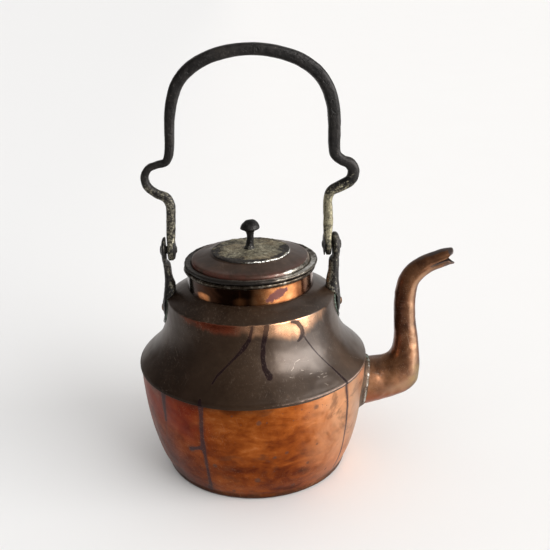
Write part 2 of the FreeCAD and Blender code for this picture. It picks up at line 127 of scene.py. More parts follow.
def arc(centre, radius, start, end, count):
    """Points on a circle between two angles in degrees."""
    t = np.radians(np.linspace(start, end, count))
    return np.stack([centre[0] + radius * np.cos(t), centre[1] + radius * np.sin(t)], 1)


def chain(*parts):
    """Parts joined end to end, without doubling a shared point."""
    out = [np.asarray(parts[0], float)]
    for part in parts[1:]:
        part = np.asarray(part, float)
        shared = np.linalg.norm(part[0] - out[-1][-1]) < 0.02
        out.append(part[1:] if shared else part)
    return np.concatenate(out)


def normals_of(path, closed=False):
    if closed:
        t = np.roll(path, -1, 0) - np.roll(path, 1, 0)
    else:
        t = np.gradient(path, axis=0)
    t /= np.maximum(np.linalg.norm(t, axis=1, keepdims=True), 1e-9)
    return np.stack([t[:, 1], -t[:, 0]], 1)


def offset(path, distance):
    """The path moved to the left of its direction of travel."""
    return path - normals_of(path) * distance


def full_turn(count):
    return np.linspace(0, 2 * math.pi, count, endpoint=False)


def squared(wave, power):
    """A sine or cosine bent towards a superellipse."""
    return np.sign(wave) * np.abs(wave) ** power


# ---------------------------------------------------------------- meshes
def grid_faces(rows, columns, closed=True):
    """Quads over a grid that wraps along its columns and, if closed, along its rows."""
    i, j = np.meshgrid(np.arange(rows if closed else rows - 1), np.arange(columns), indexing="ij")
    i2, j2 = (i + 1) % rows, (j + 1) % columns
    quads = [i * columns + j, i * columns + j2, i2 * columns + j2, i2 * columns + j]
    return np.stack(quads, -1).reshape(-1, 4)


def ring_mesh(pts):
    """Vertices and faces of a grid closed both ways."""
    return pts.reshape(-1, 3), [grid_faces(*pts.shape[:2])]


def capped_mesh(pts):
    """Vertices and faces of a grid whose first and last rows close on added centre points."""
    rows, columns = pts.shape[:2]
    verts = np.vstack([pts.reshape(-1, 3), pts[0].mean(0), pts[-1].mean(0)])
    centre, last = rows * columns, (rows - 1) * columns
    j = np.arange(columns)
    after = (j + 1) % columns
    first_fan = np.stack([np.full(columns, centre), after, j], 1)
    last_fan = np.stack([np.full(columns, centre + 1), last + j, last + after], 1)
    return verts, [grid_faces(rows, columns, False), np.vstack([first_fan, last_fan])]


def skin_slots(faces, columns, inner):
    """Material slot 1 for faces that start at row inner or later."""
    return np.where(faces[:, 0] // columns >= inner, 1, 0)


def signed_volume(verts, faces):
    total = 0.0
    for block in faces:
        first = verts[block[:, 0]]
        for k in range(1, block.shape[1] - 1):
            cross = np.cross(verts[block[:, k]], verts[block[:, k + 1]])
            total += np.einsum("ij,ij->", first, cross)
    return total


def build(name, mesh, body, mats, nodes, attrs, face_mats=None):
    """A smooth-shaded object from (vertices in mm, face arrays); one-number attrs fill it."""
    verts, faces = mesh
    if signed_volume(verts, faces) < 0:
        faces = [block[:, ::-1] for block in faces]
    me = bpy.data.meshes.new(name)
    loops = np.concatenate([block.reshape(-1) for block in faces])
    sizes = np.concatenate([np.full(len(block), block.shape[1]) for block in faces])
    starts = np.concatenate([[0], np.cumsum(sizes)[:-1]])
    me.vertices.add(len(verts))
    me.vertices.foreach_set("co", (verts * MM).astype(np.float32).reshape(-1))
    me.loops.add(len(loops))
    me.loops.foreach_set("vertex_index", loops.astype(np.int32))
    me.polygons.add(len(sizes))
    me.polygons.foreach_set("loop_start", starts.astype(np.int32))
    me.polygons.foreach_set("loop_total", sizes.astype(np.int32))
    me.polygons.foreach_set("use_smooth", np.ones(len(sizes), bool))
    for key, values in attrs.items():
        values = np.broadcast_to(np.ravel(values), len(verts))
        attribute = me.attributes.new(key, "FLOAT", "POINT")
        attribute.data.foreach_set("value", np.ascontiguousarray(values, np.float32))
    for mat in mats:
        me.materials.append(mat)
    if face_mats is not None:
        me.polygons.foreach_set("material_index", np.asarray(face_mats, np.int32))
    me.update(calc_edges=True)
    me.validate()
    ob = bpy.data.objects.new(name, me)
    SCENE.collection.objects.link(ob)
    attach(ob, body)
    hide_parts(*nodes)


# ---------------------------------------------------------------- shader helpers
class Value:
    """A shader output; + - * and the methods below add nodes after it."""

    def __init__(self, shader, socket):
        self.shader = shader
        self.socket = socket

    def __add__(self, other):
        return self.shader.math("ADD", self, other)

    def __sub__(self, other):
        return self.shader.math("SUBTRACT", self, other)

    def __mul__(self, other):
        return self.shader.math("MULTIPLY", self, other)

    def max(self, other):
        return self.shader.math("MAXIMUM", self, other)

    def step(self, start, end):
        """Eased ramp from 0 at start to 1 at end."""
        rising = start < end
        ends = (start, end, 0.0, 1.0) if rising else (end, start, 1.0, 0.0)
        inputs = {0: self, **{k + 1: number for k, number in enumerate(ends)}}
        return self.shader.node("MapRange", inputs, interpolation_type="SMOOTHSTEP")

    def lerp(self, low, high):
        """low where this is 0, high where it is 1."""
        return self.shader.node("Mix", {0: self, 2: low, 3: high}, data_type="FLOAT")

    def beside(self, name):
        """Another output of the same node."""
        return Value(self.shader, self.socket.node.outputs[name])


class Shader:
    """Node tree of a material or world; paint() lays colours over self.color."""

    def __init__(self, owner, coords):
        owner.use_nodes = True
        self.owner = owner
        self.tree = owner.node_tree
        self.tree.nodes.clear()
        self.coords = self.node("TexCoord", {}, coords)

    def put(self, socket, value):
        if isinstance(value, Value):
            self.tree.links.new(value.socket, socket)
        else:
            socket.default_value = (*value, 1.0) if socket.type == "RGBA" else value

    def node(self, kind, inputs, output=0, **settings):
        new = self.tree.nodes.new("ShaderNode" + kind)
        for key, value in settings.items():
            setattr(new, key, value)
        for key, value in inputs.items():
            self.put(new.inputs[key], value)
        return Value(self, new.outputs[output])

    def output(self, kind, value):
        self.put(self.tree.nodes.new("ShaderNode" + kind).inputs[0], value)

    def axes(self):
        x = self.node("SeparateXYZ", {0: self.coords}, "X")
        return x, x.beside("Y"), x.beside("Z")

    def math(self, operation, first, second=0.0):
        return self.node("Math", {0: first, 1: second}, operation=operation)

    def noise(self, size, detail, rough, seed, warp=0.0, zscale=None, vector=None):
        """Noise from 0 to 1 with features about size mm across; zscale squeezes it along Z."""
        if zscale:
            vector = self.node("Mapping", {"Vector": self.coords, "Scale": (1, 1, zscale)})
        inputs = {"Vector": vector or self.coords, "W": seed, "Scale": 500.0 / size,
                  "Detail": detail, "Roughness": rough, "Distortion": warp}
        return self.node("TexNoise", inputs, "Fac", noise_dimensions="4D")

    def cells(self, size):
        """Distance to the nearest of points scattered about size mm apart."""
        return self.node("TexVoronoi", {"Vector": self.coords, "Scale": 1000.0 / size}, "Distance")

    def attr(self, name):
        return self.node("Attribute", {}, "Fac", attribute_name=name)

    def mix(self, mask, low, high, mode="MIX"):
        return self.node("Mix", {0: mask, 6: low, 7: high}, 2, data_type="RGBA", blend_type=mode)

    def paint(self, mask, color):
        self.color = self.mix(mask, self.color, color)

    def multiply(self, tint, color=None):
        return self.mix(1.0, color or self.color, tint, "MULTIPLY")

    def ramp(self, value, *stops):
        """Colours along value; each stop is place, red, green, blue."""
        color = self.node("ValToRGB", {0: value})
        elements = color.socket.node.color_ramp.elements
        while len(elements) < len(stops):
            elements.new(0.5)
        for k, (place, *rgb) in enumerate(stops):
            elements[k].position = place
            elements[k].color = (*rgb, 1.0)
        return color

    def bump(self, height, depth, strength):
        """Bumps depth mm deep."""
        return self.node("Bump", {"Strength": strength, "Distance": depth * MM, "Height": height})

    def streak(self, length, width, turn, detail, seed):
        """Noise whose features are length by width mm, lying along the turned X direction."""
        inputs = {"Vector": self.coords, "Rotation": turn, "Scale": (length, width, width)}
        vector = self.node("Mapping", inputs, vector_type="TEXTURE")
        return self.noise(1.0, detail, 0.5, seed, vector=vector)

    def scratches(self, length, width, seed, level=0.665):
        """Sparse straight scratches at several angles; a higher level leaves fewer."""
        turns = ((0.1, 0.25, 0.3), (0.2, 1.25, 0.1), (-0.3, -0.75, 0.9), (0.5, 0.6, -1.2),
                 (0.0, -0.2, 1.7))
        lines = None
        for k, turn in enumerate(turns):
            line = self.streak(length, width, turn, 1, seed + 3.1 * k).step(level, level + 0.05)
            lines = line if lines is None else lines.max(line)
        return lines * self.noise(30, 2, 0.5, seed + 40).step(0.40, 0.56)

    def finish(self, metallic, rough, normal=None, **others):
        """Surface from self.color; others name inputs with _ for spaces."""
        inputs = {"Base Color": self.color, "Metallic": metallic, "Roughness": rough}
        inputs.update({key.replace("_", " "): value for key, value in others.items()})
        if normal is not None:
            inputs["Normal"] = normal
        self.output("OutputMaterial", self.node("BsdfPrincipled", inputs))
        return self.owner


def material(name):
    mat = Shader(bpy.data.materials.new(name), "Object")
    return mat, mat.noise, mat.mix, mat.paint


# ---------------------------------------------------------------- materials
# noise() takes size in mm, detail, roughness, seed. Colours are linear RGB. step() bounds on
# x, y, z are places in metres. Factors inside sums weigh the layers, (noise - 0.5) * n frays
# an edge by n, and a factor on a mask in paint() is the strength of that coat.
def copper_rubbed():
    mat, noise, mix, paint = material("copper_rubbed")
    x, y, z = mat.axes()
    tone = (noise(52, 3, 0.55, 1, warp=1.3) * 0.40
            + noise(15, 5, 0.6, 2, warp=1.1, zscale=1.9) * 0.32
            + (noise(3.4, 5, 0.62, 3, warp=0.4) * 0.14
               + mat.streak(26, 3.2, (0.0, 0.12, 0.0), 3, 4) * 0.14))
    mat.color = mat.ramp(
        tone, (0.36, 0.060, 0.012, 0.004), (0.43, 0.165, 0.033, 0.007),
        (0.49, 0.29, 0.068, 0.011), (0.55, 0.42, 0.115, 0.022), (0.63, 0.62, 0.25, 0.085))
    # painted shade: the wall darker towards -X, the side away from the window
    paint(x.step(0.004, -0.075) * 0.92, mat.multiply((0.42, 0.27, 0.26)))
    # red cloud on the -X side near the top
    red = (x.step(-0.030, -0.050) * z.step(0.040, 0.075)
           * noise(20, 3, 0.6, 8, warp=0.8).step(0.36, 0.56))
    paint(red * 0.42, (0.24, 0.020, 0.009))
    # polished salmon patch towards +X, partly real colour and partly a painted highlight on the
    # window side, pale against the spout
    salmon_and_highlight = (x.step(0.028, 0.080) * z.step(0.012, 0.050).lerp(0.55, 1.0)
              * noise(17, 3, 0.6, 9, warp=0.7).step(0.24, 0.54))
    paint(salmon_and_highlight * 0.88,
          mix(noise(8, 4, 0.6, 10, warp=0.6), (0.62, 0.27, 0.115), (0.90, 0.50, 0.28)))
    # painted highlight: a pale patch on the -Y side against the spout
    paint(x.step(0.074, 0.090) * y.step(0.03, -0.01) * 0.65, (0.56, 0.36, 0.24))
    # greyish solder splashes below the spout root
    splash = (x.step(0.085, 0.091) * z.step(0.022, 0.032)
              * (z.step(0.056, 0.048)
                 * noise(5, 4, 0.65, 7, warp=0.5, zscale=0.4).step(0.46, 0.60)))
    paint(splash * 0.8, mix(noise(2.5, 3, 0.6, 6), (0.16, 0.17, 0.12), (0.50, 0.50, 0.43)))
    # painted shade under the lap on the -X side, darker at the foot, smoky patches
    lap_shade = (z + noise(9, 4, 0.6, 11, warp=0.4) * 0.014).step(0.096, 0.105) * 0.60
    paint(lap_shade * x.step(0.03, -0.02), (0.060, 0.030, 0.018))
    foot = (z - noise(6, 4, 0.6, 12) * 0.009).step(0.0035, -0.0025)
    paint(foot * 0.85, (0.050, 0.030, 0.022))
    smoke = noise(24, 4, 0.6, 13, warp=1.2, zscale=1.6).step(0.56, 0.70) * 0.55
    paint(smoke, (0.12, 0.050, 0.026))
    # small dark specks, thick near the top on the +X side, and the larger marks
    dense = (noise(22, 2, 0.5, 22).step(0.54, 0.64) * 0.9).max(
        x.step(0.005, 0.03) * z.step(0.062, 0.084) * y.step(0.0, -0.03))
    speck = ((mat.cells(4.2) + noise(0.9, 3, 0.5, 21) * 0.22).step(0.245, 0.165)
             * (dense + (noise(6, 2, 0.5, 28) - 0.5) * 1.2).step(0.46, 0.60))
    spot = ((mat.cells(23) + noise(2.0, 4, 0.7, 23) * 0.30).step(0.25, 0.13)
            * noise(60, 1, 0.5, 24).step(0.42, 0.52))
    marks = (mat.attr("spot") + (noise(1.8, 4, 0.7, 25) - 0.5) * 1.1).step(0.34, 0.86)
    dark = (speck * 0.9).max(spot * 0.35).max(marks * 0.62)
    paint(dark, mix(noise(2, 2, 0.5, 26), (0.024, 0.012, 0.009), (0.085, 0.050, 0.036)))
    # purple-brown runs
    stain = (mat.attr("stain") + (noise(2.2, 5, 0.7, 31) - 0.5) * 0.42).step(0.64, 0.76)
    halo = (mat.attr("stain").step(0.20, 0.72)
            * (noise(7, 4, 0.6, 33, warp=0.5).step(0.32, 0.60) * 0.62))
    paint(halo, (0.10, 0.030, 0.018))
    paint(stain * noise(5, 4, 0.6, 34).lerp(0.78, 0.99),
          mix(noise(3, 3, 0.5, 32), (0.020, 0.008, 0.011), (0.050, 0.018, 0.018)))
    scratch = mat.scratches(20, 0.5, seed=5)
    paint(scratch * 0.13, (0.70, 0.40, 0.22))
    rough = noise(9, 5, 0.65, 41, warp=0.6).lerp(0.26, 0.50) + noise(1.4, 3, 0.6, 42) * 0.08
    rough = stain.lerp(dark.lerp(rough, 0.60), 0.42)
    height = (noise(13, 3, 0.5, 51, warp=0.3) * 1.0
              + (noise(4.5, 3, 0.5, 53) * 0.16 + noise(1.1, 4, 0.6, 52) * 0.07)
              - dark * 0.22 + stain * 0.07 - scratch * 0.03)
    return mat.finish(
        metallic=(dark * 0.7).max(stain * 0.85).lerp(1.0, 0.15), rough=rough,
        normal=mat.bump(height, depth=0.55, strength=0.9),
        Specular_IOR_Level=stain.lerp(0.5, 0.16))


def copper_patina():
    mat, noise, mix, paint = material("copper_patina")
    x, y, z = mat.axes()
    fine = noise(2.0, 4, 0.65, 63)
    tone = (noise(50, 3, 0.55, 61, warp=0.8) * 0.56
            + (noise(11, 5, 0.65, 62, warp=0.6) * 0.30 + fine * 0.14))
    mat.color = mat.ramp(
        tone, (0.36, 0.011, 0.0055, 0.0030), (0.47, 0.024, 0.0125, 0.0066),
        (0.56, 0.038, 0.0215, 0.0120), (0.68, 0.066, 0.040, 0.024))
    # painted shade: the patina darker towards -X, the side away from the window
    paint(x.step(0.02, -0.06), mat.multiply((0.52, 0.50, 0.55)))
    # bright metal showing through under the crisp edge, partly real and partly a painted highlight
    # that is palest towards +X; darker and redder towards -X as painted shade
    bare_metal_and_highlight = (mat.attr("bare_metal_and_highlight") + (noise(7, 5, 0.6, 64, warp=0.9) - 0.5) * 0.80
              + (noise(4.5, 4, 0.6, 65, warp=0.2, zscale=0.14) - 0.5) * 0.85).step(0.16, 1.02)
    metal = mix(noise(8, 4, 0.6, 66, warp=0.6), (0.42, 0.150, 0.055), (0.88, 0.54, 0.33))
    red = mix(noise(6, 3, 0.5, 60, warp=0.5), (0.115, 0.012, 0.006), (0.32, 0.050, 0.016))
    paint(bare_metal_and_highlight, mix(x.step(0.006, -0.020) * 0.94, metal, red))
    # the worn lap edge and the crisp edge, with a painted highlight along them that is strongest
    # on the front right
    wear_and_highlight = (mat.attr("edge") + (noise(2.6, 4, 0.7, 67) - 0.5) * 0.9).step(0.42, 0.80)
    paint(wear_and_highlight * 0.7, (0.48, 0.32, 0.25))
    # dark runs
    stain = (mat.attr("stain") + (noise(2.2, 5, 0.7, 68) - 0.5) * 0.42).step(0.64, 0.76)
    halo = (mat.attr("stain").step(0.25, 0.66)
            * (noise(7, 4, 0.6, 58, warp=0.5).step(0.35, 0.62) * 0.4))
    paint(halo, (0.026, 0.014, 0.012))
    paint(stain * noise(5, 4, 0.6, 59).lerp(0.72, 0.98),
          mix(noise(3, 3, 0.5, 69), (0.005, 0.0025, 0.004), (0.016, 0.007, 0.009)))
    scratch = mat.scratches(18, 0.45, seed=15, level=0.675)
    marks = (mat.attr("spot") + (noise(1.2, 4, 0.7, 70) - 0.5) * 0.7).step(0.70, 0.90)
    paint(scratch * 0.30, (0.20, 0.15, 0.115))
    paint(marks * 0.60, (0.40, 0.34, 0.29))
    speck = ((mat.cells(9.0) + noise(1.3, 3, 0.5, 71) * 0.22).step(0.19, 0.11)
             * noise(25, 2, 0.5, 72).step(0.54, 0.64))
    paint(speck * 0.7, (0.012, 0.008, 0.006))
    rough = bare_metal_and_highlight.lerp(noise(9, 5, 0.65, 73, warp=0.5).lerp(0.24, 0.36), 0.25)
    rough = stain.lerp(rough, 0.24)
    height = (noise(16, 3, 0.5, 74, warp=0.3) * 0.8 + (noise(5, 3, 0.5, 75) * 0.12 + fine * 0.06)
              - speck * 0.25 + stain * 0.08 - scratch.max(marks) * 0.06)
    return mat.finish(
        metallic=stain.lerp(bare_metal_and_highlight.lerp(0.10, 0.95), 0.1),
        rough=mat.attr("dull").lerp(rough, 0.5),
        normal=mat.bump(height, depth=0.5, strength=0.8),
        Specular_IOR_Level=(stain.lerp(0.74, 0.22) * mat.attr("dull").lerp(1.0, 0.25)
                            * x.step(-0.03, -0.085).lerp(1.0, 0.40)),
        Specular_Tint=mix(x.step(-0.03, 0.05), (0.95, 0.70, 0.54), (1.0, 0.88, 0.80)))


def copper_neck():
    mat, noise, mix, paint = material("copper_neck")
    tone = (noise(18, 4, 0.55, 81, warp=0.7, zscale=0.35) * 0.6
            + noise(4, 5, 0.6, 82, warp=0.4) * 0.4)
    mat.color = mat.ramp(
        tone, (0.34, 0.15, 0.050, 0.022), (0.44, 0.38, 0.125, 0.045),
        (0.54, 0.62, 0.25, 0.095), (0.68, 0.84, 0.46, 0.23))
    # upright dark and light bands: painted reflections of the room round the neck, and painted
    # shade under the rim on the -X side
    shade = mat.attr("shade") + (noise(5, 4, 0.6, 91, warp=0.4, zscale=0.3) - 0.5) * 0.5
    paint(shade.step(0.95, 0.15),
          mix(noise(4, 3, 0.5, 92), (0.014, 0.008, 0.005), (0.060, 0.022, 0.010)))
    stain = mat.attr("stain") + (noise(2.2, 5, 0.78, 83, warp=0.9) - 0.5) * 1.25
    stain = stain.step(0.50, 0.66)
    paint(stain * 0.92, mix(noise(2.4, 3, 0.5, 84), (0.085, 0.022, 0.030), (0.20, 0.065, 0.060)))
    # the rolled edge carries worn tinning over brown copper
    tin = (mat.attr("tin") + (noise(3.0, 5, 0.7, 85, warp=0.3) - 0.5) * 0.8).step(0.40, 0.62)
    paint(tin, mat.ramp(
        noise(2.8, 5, 0.7, 86, warp=0.4), (0.38, 0.026, 0.018, 0.012),
        (0.52, 0.075, 0.058, 0.042), (0.64, 0.22, 0.195, 0.160), (0.76, 0.52, 0.49, 0.43)))
    # painted shade at the foot of the neck and under the rolled bead
    paint(mat.attr("grime_and_shade") * 0.9, (0.018, 0.011, 0.008))
    rough = tin.lerp(stain.lerp(noise(4, 4, 0.6, 87).lerp(0.09, 0.26), 0.45), 0.36)
    height = (noise(9, 3, 0.5, 88, warp=0.2) * 0.8 + noise(1.1, 4, 0.6, 89) * 0.06
              + tin * noise(2.2, 4, 0.7, 90) * 0.5)
    return mat.finish(metallic=stain.lerp(1.0, 0.45), rough=rough,
                      normal=mat.bump(height, depth=0.45, strength=0.9))


def copper_lid():
    mat, noise, mix, paint = material("copper_lid")
    x, y, z = mat.axes()
    tone = (noise(26, 4, 0.55, 101, warp=0.8) * 0.55
            + (noise(6, 5, 0.65, 102, warp=0.5) * 0.3 + noise(1.4, 4, 0.6, 103) * 0.15))
    mat.color = mat.ramp(
        tone, (0.36, 0.010, 0.0055, 0.0038), (0.48, 0.023, 0.0130, 0.0088),
        (0.58, 0.042, 0.0245, 0.0165), (0.70, 0.085, 0.050, 0.032))
    # reddish brown where the slope rolls over
    roll = z.step(0.1925, 0.1885) * noise(9, 4, 0.6, 109, warp=0.5).step(0.36, 0.62)
    paint(roll * 0.6, (0.13, 0.036, 0.026))
    tin = (mat.attr("tin") + (noise(3.8, 5, 0.72, 104, warp=0.5) - 0.5) * 1.0).step(0.46, 0.66)
    paint(tin, mat.ramp(noise(2.1, 4, 0.7, 105), (0.34, 0.10, 0.09, 0.07),
                        (0.52, 0.36, 0.34, 0.30), (0.70, 0.78, 0.77, 0.72)))
    scratch = mat.scratches(16, 0.45, seed=17)
    paint(scratch * 0.25, (0.24, 0.18, 0.14))
    height = (noise(13, 3, 0.5, 107, warp=0.3) * 0.9 + noise(1.2, 4, 0.6, 108) * 0.07
              - scratch * 0.06 + tin * 0.25)
    return mat.finish(
        metallic=tin.lerp(0.20, 0.95),
        rough=tin.lerp(noise(6, 5, 0.65, 106).lerp(0.26, 0.42), 0.32),
        normal=mat.bump(height, depth=0.4, strength=0.85),
        Specular_IOR_Level=0.66, Specular_Tint=(1.0, 0.82, 0.72))


def tinned():
    mat, noise, mix, paint = material("tinned_copper")
    broad = noise(6.5, 5, 0.68, 121, warp=1.0)
    fine = noise(1.7, 5, 0.7, 122, warp=0.4)
    tone = broad * 0.62 + fine * 0.30 + (mat.attr("tin") - 0.5) * 0.30
    mat.color = mat.ramp(
        tone, (0.38, 0.014, 0.010, 0.007), (0.46, 0.046, 0.033, 0.024),
        (0.53, 0.15, 0.128, 0.100), (0.60, 0.42, 0.40, 0.35), (0.70, 0.82, 0.81, 0.77))
    # painted shade on the underside of the ring and a painted shadow line where it meets the cover
    paint(mat.attr("grime_and_shade") * 0.9, (0.012, 0.009, 0.007))
    return mat.finish(metallic=tone.step(0.42, 0.56).lerp(0.45, 0.95),
                      rough=tone.lerp(0.58, 0.20),
                      normal=mat.bump(broad * 1.0 + fine * 0.45, depth=0.6, strength=0.9))


def corroded_tin():
    mat, noise, mix, paint = material("corroded_tin")
    broad = noise(10, 5, 0.68, 131, warp=0.9)
    fine = noise(2.4, 6, 0.76, 132, warp=0.6)
    grain = noise(1.0, 4, 0.7, 133)
    mat.color = mat.ramp(
        broad * 0.36 + (fine * 0.42 + grain * 0.22), (0.40, 0.014, 0.011, 0.008),
        (0.455, 0.070, 0.060, 0.038), (0.51, 0.175, 0.155, 0.100), (0.565, 0.29, 0.27, 0.195),
        (0.64, 0.52, 0.50, 0.42))
    paint(noise(14, 3, 0.6, 137, warp=0.6).step(0.46, 0.64) * 0.6,
          mat.multiply((1.0, 0.80, 0.62)))
    # dark patches of dirt, more of them in the groove inside the edge and towards -X as painted
    # shade
    patch = (noise(11, 5, 0.66, 134, warp=1.3) + mat.attr("grime_and_shade") * 0.30).step(0.62, 0.72)
    paint(patch * 0.92, (0.014, 0.010, 0.010))
    pit = (mat.cells(2.3) + grain * 0.3).step(0.38, 0.20) * broad.step(0.38, 0.56)
    paint(pit * 0.85, (0.014, 0.011, 0.008))
    solder = mat.attr("solder") + (noise(3.5, 4, 0.7, 135, warp=0.4) - 0.5) * 0.7
    solder = solder.step(0.55, 0.72)
    paint(solder, mix(fine, (0.40, 0.39, 0.35), (0.88, 0.87, 0.82)))
    height = broad * 0.8 + fine * 1.0 - pit.max(patch * 0.6) * 0.7
    return mat.finish(metallic=solder.lerp(0.25, 0.95),
                      rough=solder.lerp(fine.lerp(0.50, 0.74), 0.24),
                      normal=mat.bump(height, depth=0.8, strength=1.0))


def iron(name, seed, shade=1.0):
    """Dark iron with worn tinning; shade scales its base colours."""
    mat, noise, mix, paint = material(name)
    broad = noise(12, 5, 0.62, seed, warp=0.7)
    fine = noise(1.9, 5, 0.72, seed + 1, warp=0.5)
    grain = noise(0.8, 4, 0.72, seed + 2)
    stops = ((0.34, 0.005, 0.005, 0.005), (0.46, 0.014, 0.012, 0.011),
             (0.56, 0.034, 0.029, 0.026), (0.68, 0.090, 0.076, 0.062))
    mat.color = mat.ramp(broad * 0.4 + (fine * 0.36 + grain * 0.24),
                         *[(place, *[shade * part for part in rgb]) for place, *rgb in stops])
    # worn tinning and rust flecks
    amount = mat.attr("tin")
    tin = amount + (fine - 0.5) * 1.5 + (grain - 0.5) * 1.3
    tin = tin.step(0.34, 0.74) * amount.step(0.02, 0.12)
    metal = mat.ramp(
        grain * 0.6 + fine * 0.4, (0.36, 0.060, 0.053, 0.040), (0.48, 0.16, 0.145, 0.108),
        (0.58, 0.31, 0.29, 0.23), (0.70, 0.64, 0.62, 0.53))
    warm = mat.multiply((1.0, 0.94, 0.72), mix(0.25, metal, (0.75, 0.74, 0.66)))
    paint(tin, mix(mat.attr("warm") * 0.8, metal, warm))
    fleck = ((mat.cells(3.4) + grain * 0.35).step(0.36, 0.22)
             * noise(9, 3, 0.6, seed + 5).step(0.50, 0.62))
    paint(fleck * 0.6, mix(fine, (0.10, 0.062, 0.040), (0.34, 0.29, 0.24)))
    height = (broad * 0.9 + (fine * 0.85 + grain * 0.24)
              - noise(1.6, 3, 0.6, seed + 7).step(0.44, 0.34) * 0.45)
    return mat.finish(metallic=tin.lerp(0.55, 0.80), rough=tin.lerp(fine.lerp(0.34, 0.58), 0.42),
                      normal=mat.bump(height, depth=0.6, strength=1.0), Specular_IOR_Level=0.6)


def spout_copper():
    mat, noise, mix, paint = material("copper_spout")
    x, y, z = mat.axes()
    broad = noise(10, 5, 0.62, 152, warp=0.8)
    fine = noise(2.6, 5, 0.65, 153, warp=0.3)
    mat.color = mat.ramp(
        noise(30, 3, 0.55, 151, warp=0.9) * 0.50 + (broad * 0.36 + fine * 0.14),
        (0.36, 0.068, 0.024, 0.010), (0.44, 0.135, 0.052, 0.021), (0.52, 0.235, 0.098, 0.040),
        (0.60, 0.34, 0.160, 0.073), (0.72, 0.47, 0.27, 0.15))
    # painted shade: dark and reddish on the side towards the body
    paint(x.step(0.140, 0.127) * z.step(0.088, 0.104) * 0.75, mat.multiply((0.42, 0.25, 0.22)))
    # painted highlight: a tan streak along the crest, stronger on the -Y side
    crest_highlight = mat.attr("crest_highlight") + (noise(9, 4, 0.6, 150, warp=0.5) - 0.5) * 0.5
    paint(crest_highlight.step(0.20, 0.85) * 0.36, (0.52, 0.33, 0.20))
    # painted shade on the outer side, and the elbow has an olive bloom
    paint(mat.attr("outer") * 0.75, mat.multiply((0.50, 0.36, 0.30)))
    olive = (x.step(0.134, 0.146) * (z.step(0.060, 0.066) * z.step(0.088, 0.080))
             * noise(8, 4, 0.65, 149, warp=0.6).step(0.42, 0.60))
    paint(olive * 0.55, (0.34, 0.24, 0.075))
    # red underside by the root: a painted reflection of the floor
    low = ((z + (noise(14, 4, 0.6, 154, warp=0.8) - 0.5) * 0.018).step(0.068, 0.054)
           * x.step(0.150, 0.124))
    paint(low * 0.85,
          mix(noise(9, 4, 0.6, 148, warp=0.6), (0.20, 0.040, 0.010), (0.38, 0.105, 0.026)))
    # grey patch close to the root, dark crown above it
    patch = (x.step(0.113, 0.110) * x.step(0.101, 0.104)
             * (z.step(0.060, 0.066) * z.step(0.084, 0.078))
             * noise(4.5, 4, 0.65, 147, warp=0.6, zscale=0.5).step(0.50, 0.60))
    paint(patch * 0.75, mix(fine, (0.070, 0.062, 0.050), (0.34, 0.32, 0.27)))
    paint(z.step(0.080, 0.090) * x.step(0.120, 0.112) * 0.5, (0.070, 0.050, 0.038))
    # dark mouth edge, with painted shade in the fold and over the whole inner skin
    lip = (mat.attr("lip") + (noise(3.2, 4, 0.7, 155, warp=0.5) - 0.5) * 0.75).step(0.40, 0.70)
    paint(lip * 0.88, mix(fine, (0.016, 0.012, 0.011), (0.048, 0.034, 0.032)))
    speck = ((mat.cells(6.0) + fine * 0.30).step(0.27, 0.14)
             * noise(18, 2, 0.5, 156).step(0.48, 0.60))
    paint(speck * 0.75, (0.024, 0.012, 0.009))
    paint(mat.scratches(12, 0.5, seed=25) * 0.22, (0.60, 0.40, 0.27))
    height = (noise(10, 3, 0.5, 157, warp=0.3) * 1.0
              + (noise(4, 3, 0.5, 159) * 0.22 + noise(1.2, 4, 0.6, 158) * 0.07) - speck * 0.25)
    return mat.finish(
        metallic=speck.max(lip * 0.7).lerp(0.80, 0.30),
        rough=speck.max(lip).lerp(broad.lerp(0.25, 0.38), 0.46),
        normal=mat.bump(height, depth=0.5, strength=0.9),
        Specular_IOR_Level=0.8, Coat_Weight=0.16, Coat_Roughness=0.26)


def root_solder():
    mat, noise, mix, paint = material("spout_root")
    broad = noise(8, 5, 0.66, 171, warp=0.8)
    fine = noise(2.2, 5, 0.72, 172, warp=0.4)
    mat.color = mat.ramp(
        broad * 0.6 + fine * 0.4, (0.36, 0.030, 0.018, 0.011), (0.47, 0.085, 0.050, 0.030),
        (0.57, 0.16, 0.100, 0.060), (0.70, 0.26, 0.17, 0.11))
    # an uneven bead of old solder with a little green in its hollows
    solder = mat.attr("solder") + (broad - 0.5) * 0.9 + (fine - 0.5) * 0.7
    solder = solder.step(0.92, 1.12)
    paint(solder, mix(fine, (0.30, 0.29, 0.26), (0.74, 0.72, 0.66)))
    green = (mat.attr("solder").step(0.5, 0.9)
             * noise(5, 4, 0.65, 173, warp=0.6).step(0.56, 0.66) * solder.step(0.8, 0.3))
    paint(green * 0.75, mix(fine, (0.050, 0.115, 0.080), (0.22, 0.33, 0.26)))
    dark = noise(5.5, 4, 0.65, 174, warp=0.7).step(0.42, 0.34)
    paint(dark * 0.7, (0.020, 0.013, 0.010))
    height = broad * 0.7 + (fine * 0.6 + solder * 0.3)
    return mat.finish(metallic=green.max(dark * 0.6).lerp(solder.lerp(0.65, 0.85), 0.05),
                      rough=solder.lerp(fine.lerp(0.42, 0.62), 0.34),
                      normal=mat.bump(height, depth=0.7, strength=0.95))


def verdigris():
    mat, noise, mix, paint = material("verdigris_pad")
    crust = noise(2.2, 5, 0.7, 181, warp=0.5)
    mat.color = mat.ramp(
        crust, (0.38, 0.020, 0.016, 0.012), (0.48, 0.055, 0.060, 0.045),
        (0.56, 0.13, 0.19, 0.15), (0.68, 0.42, 0.48, 0.41))
    paint(noise(4, 3, 0.5, 182).step(0.56, 0.66), (0.10, 0.055, 0.03))
    return mat.finish(metallic=0.1, rough=crust.lerp(0.7, 0.9),
                      normal=mat.bump(crust, depth=0.5, strength=0.9))


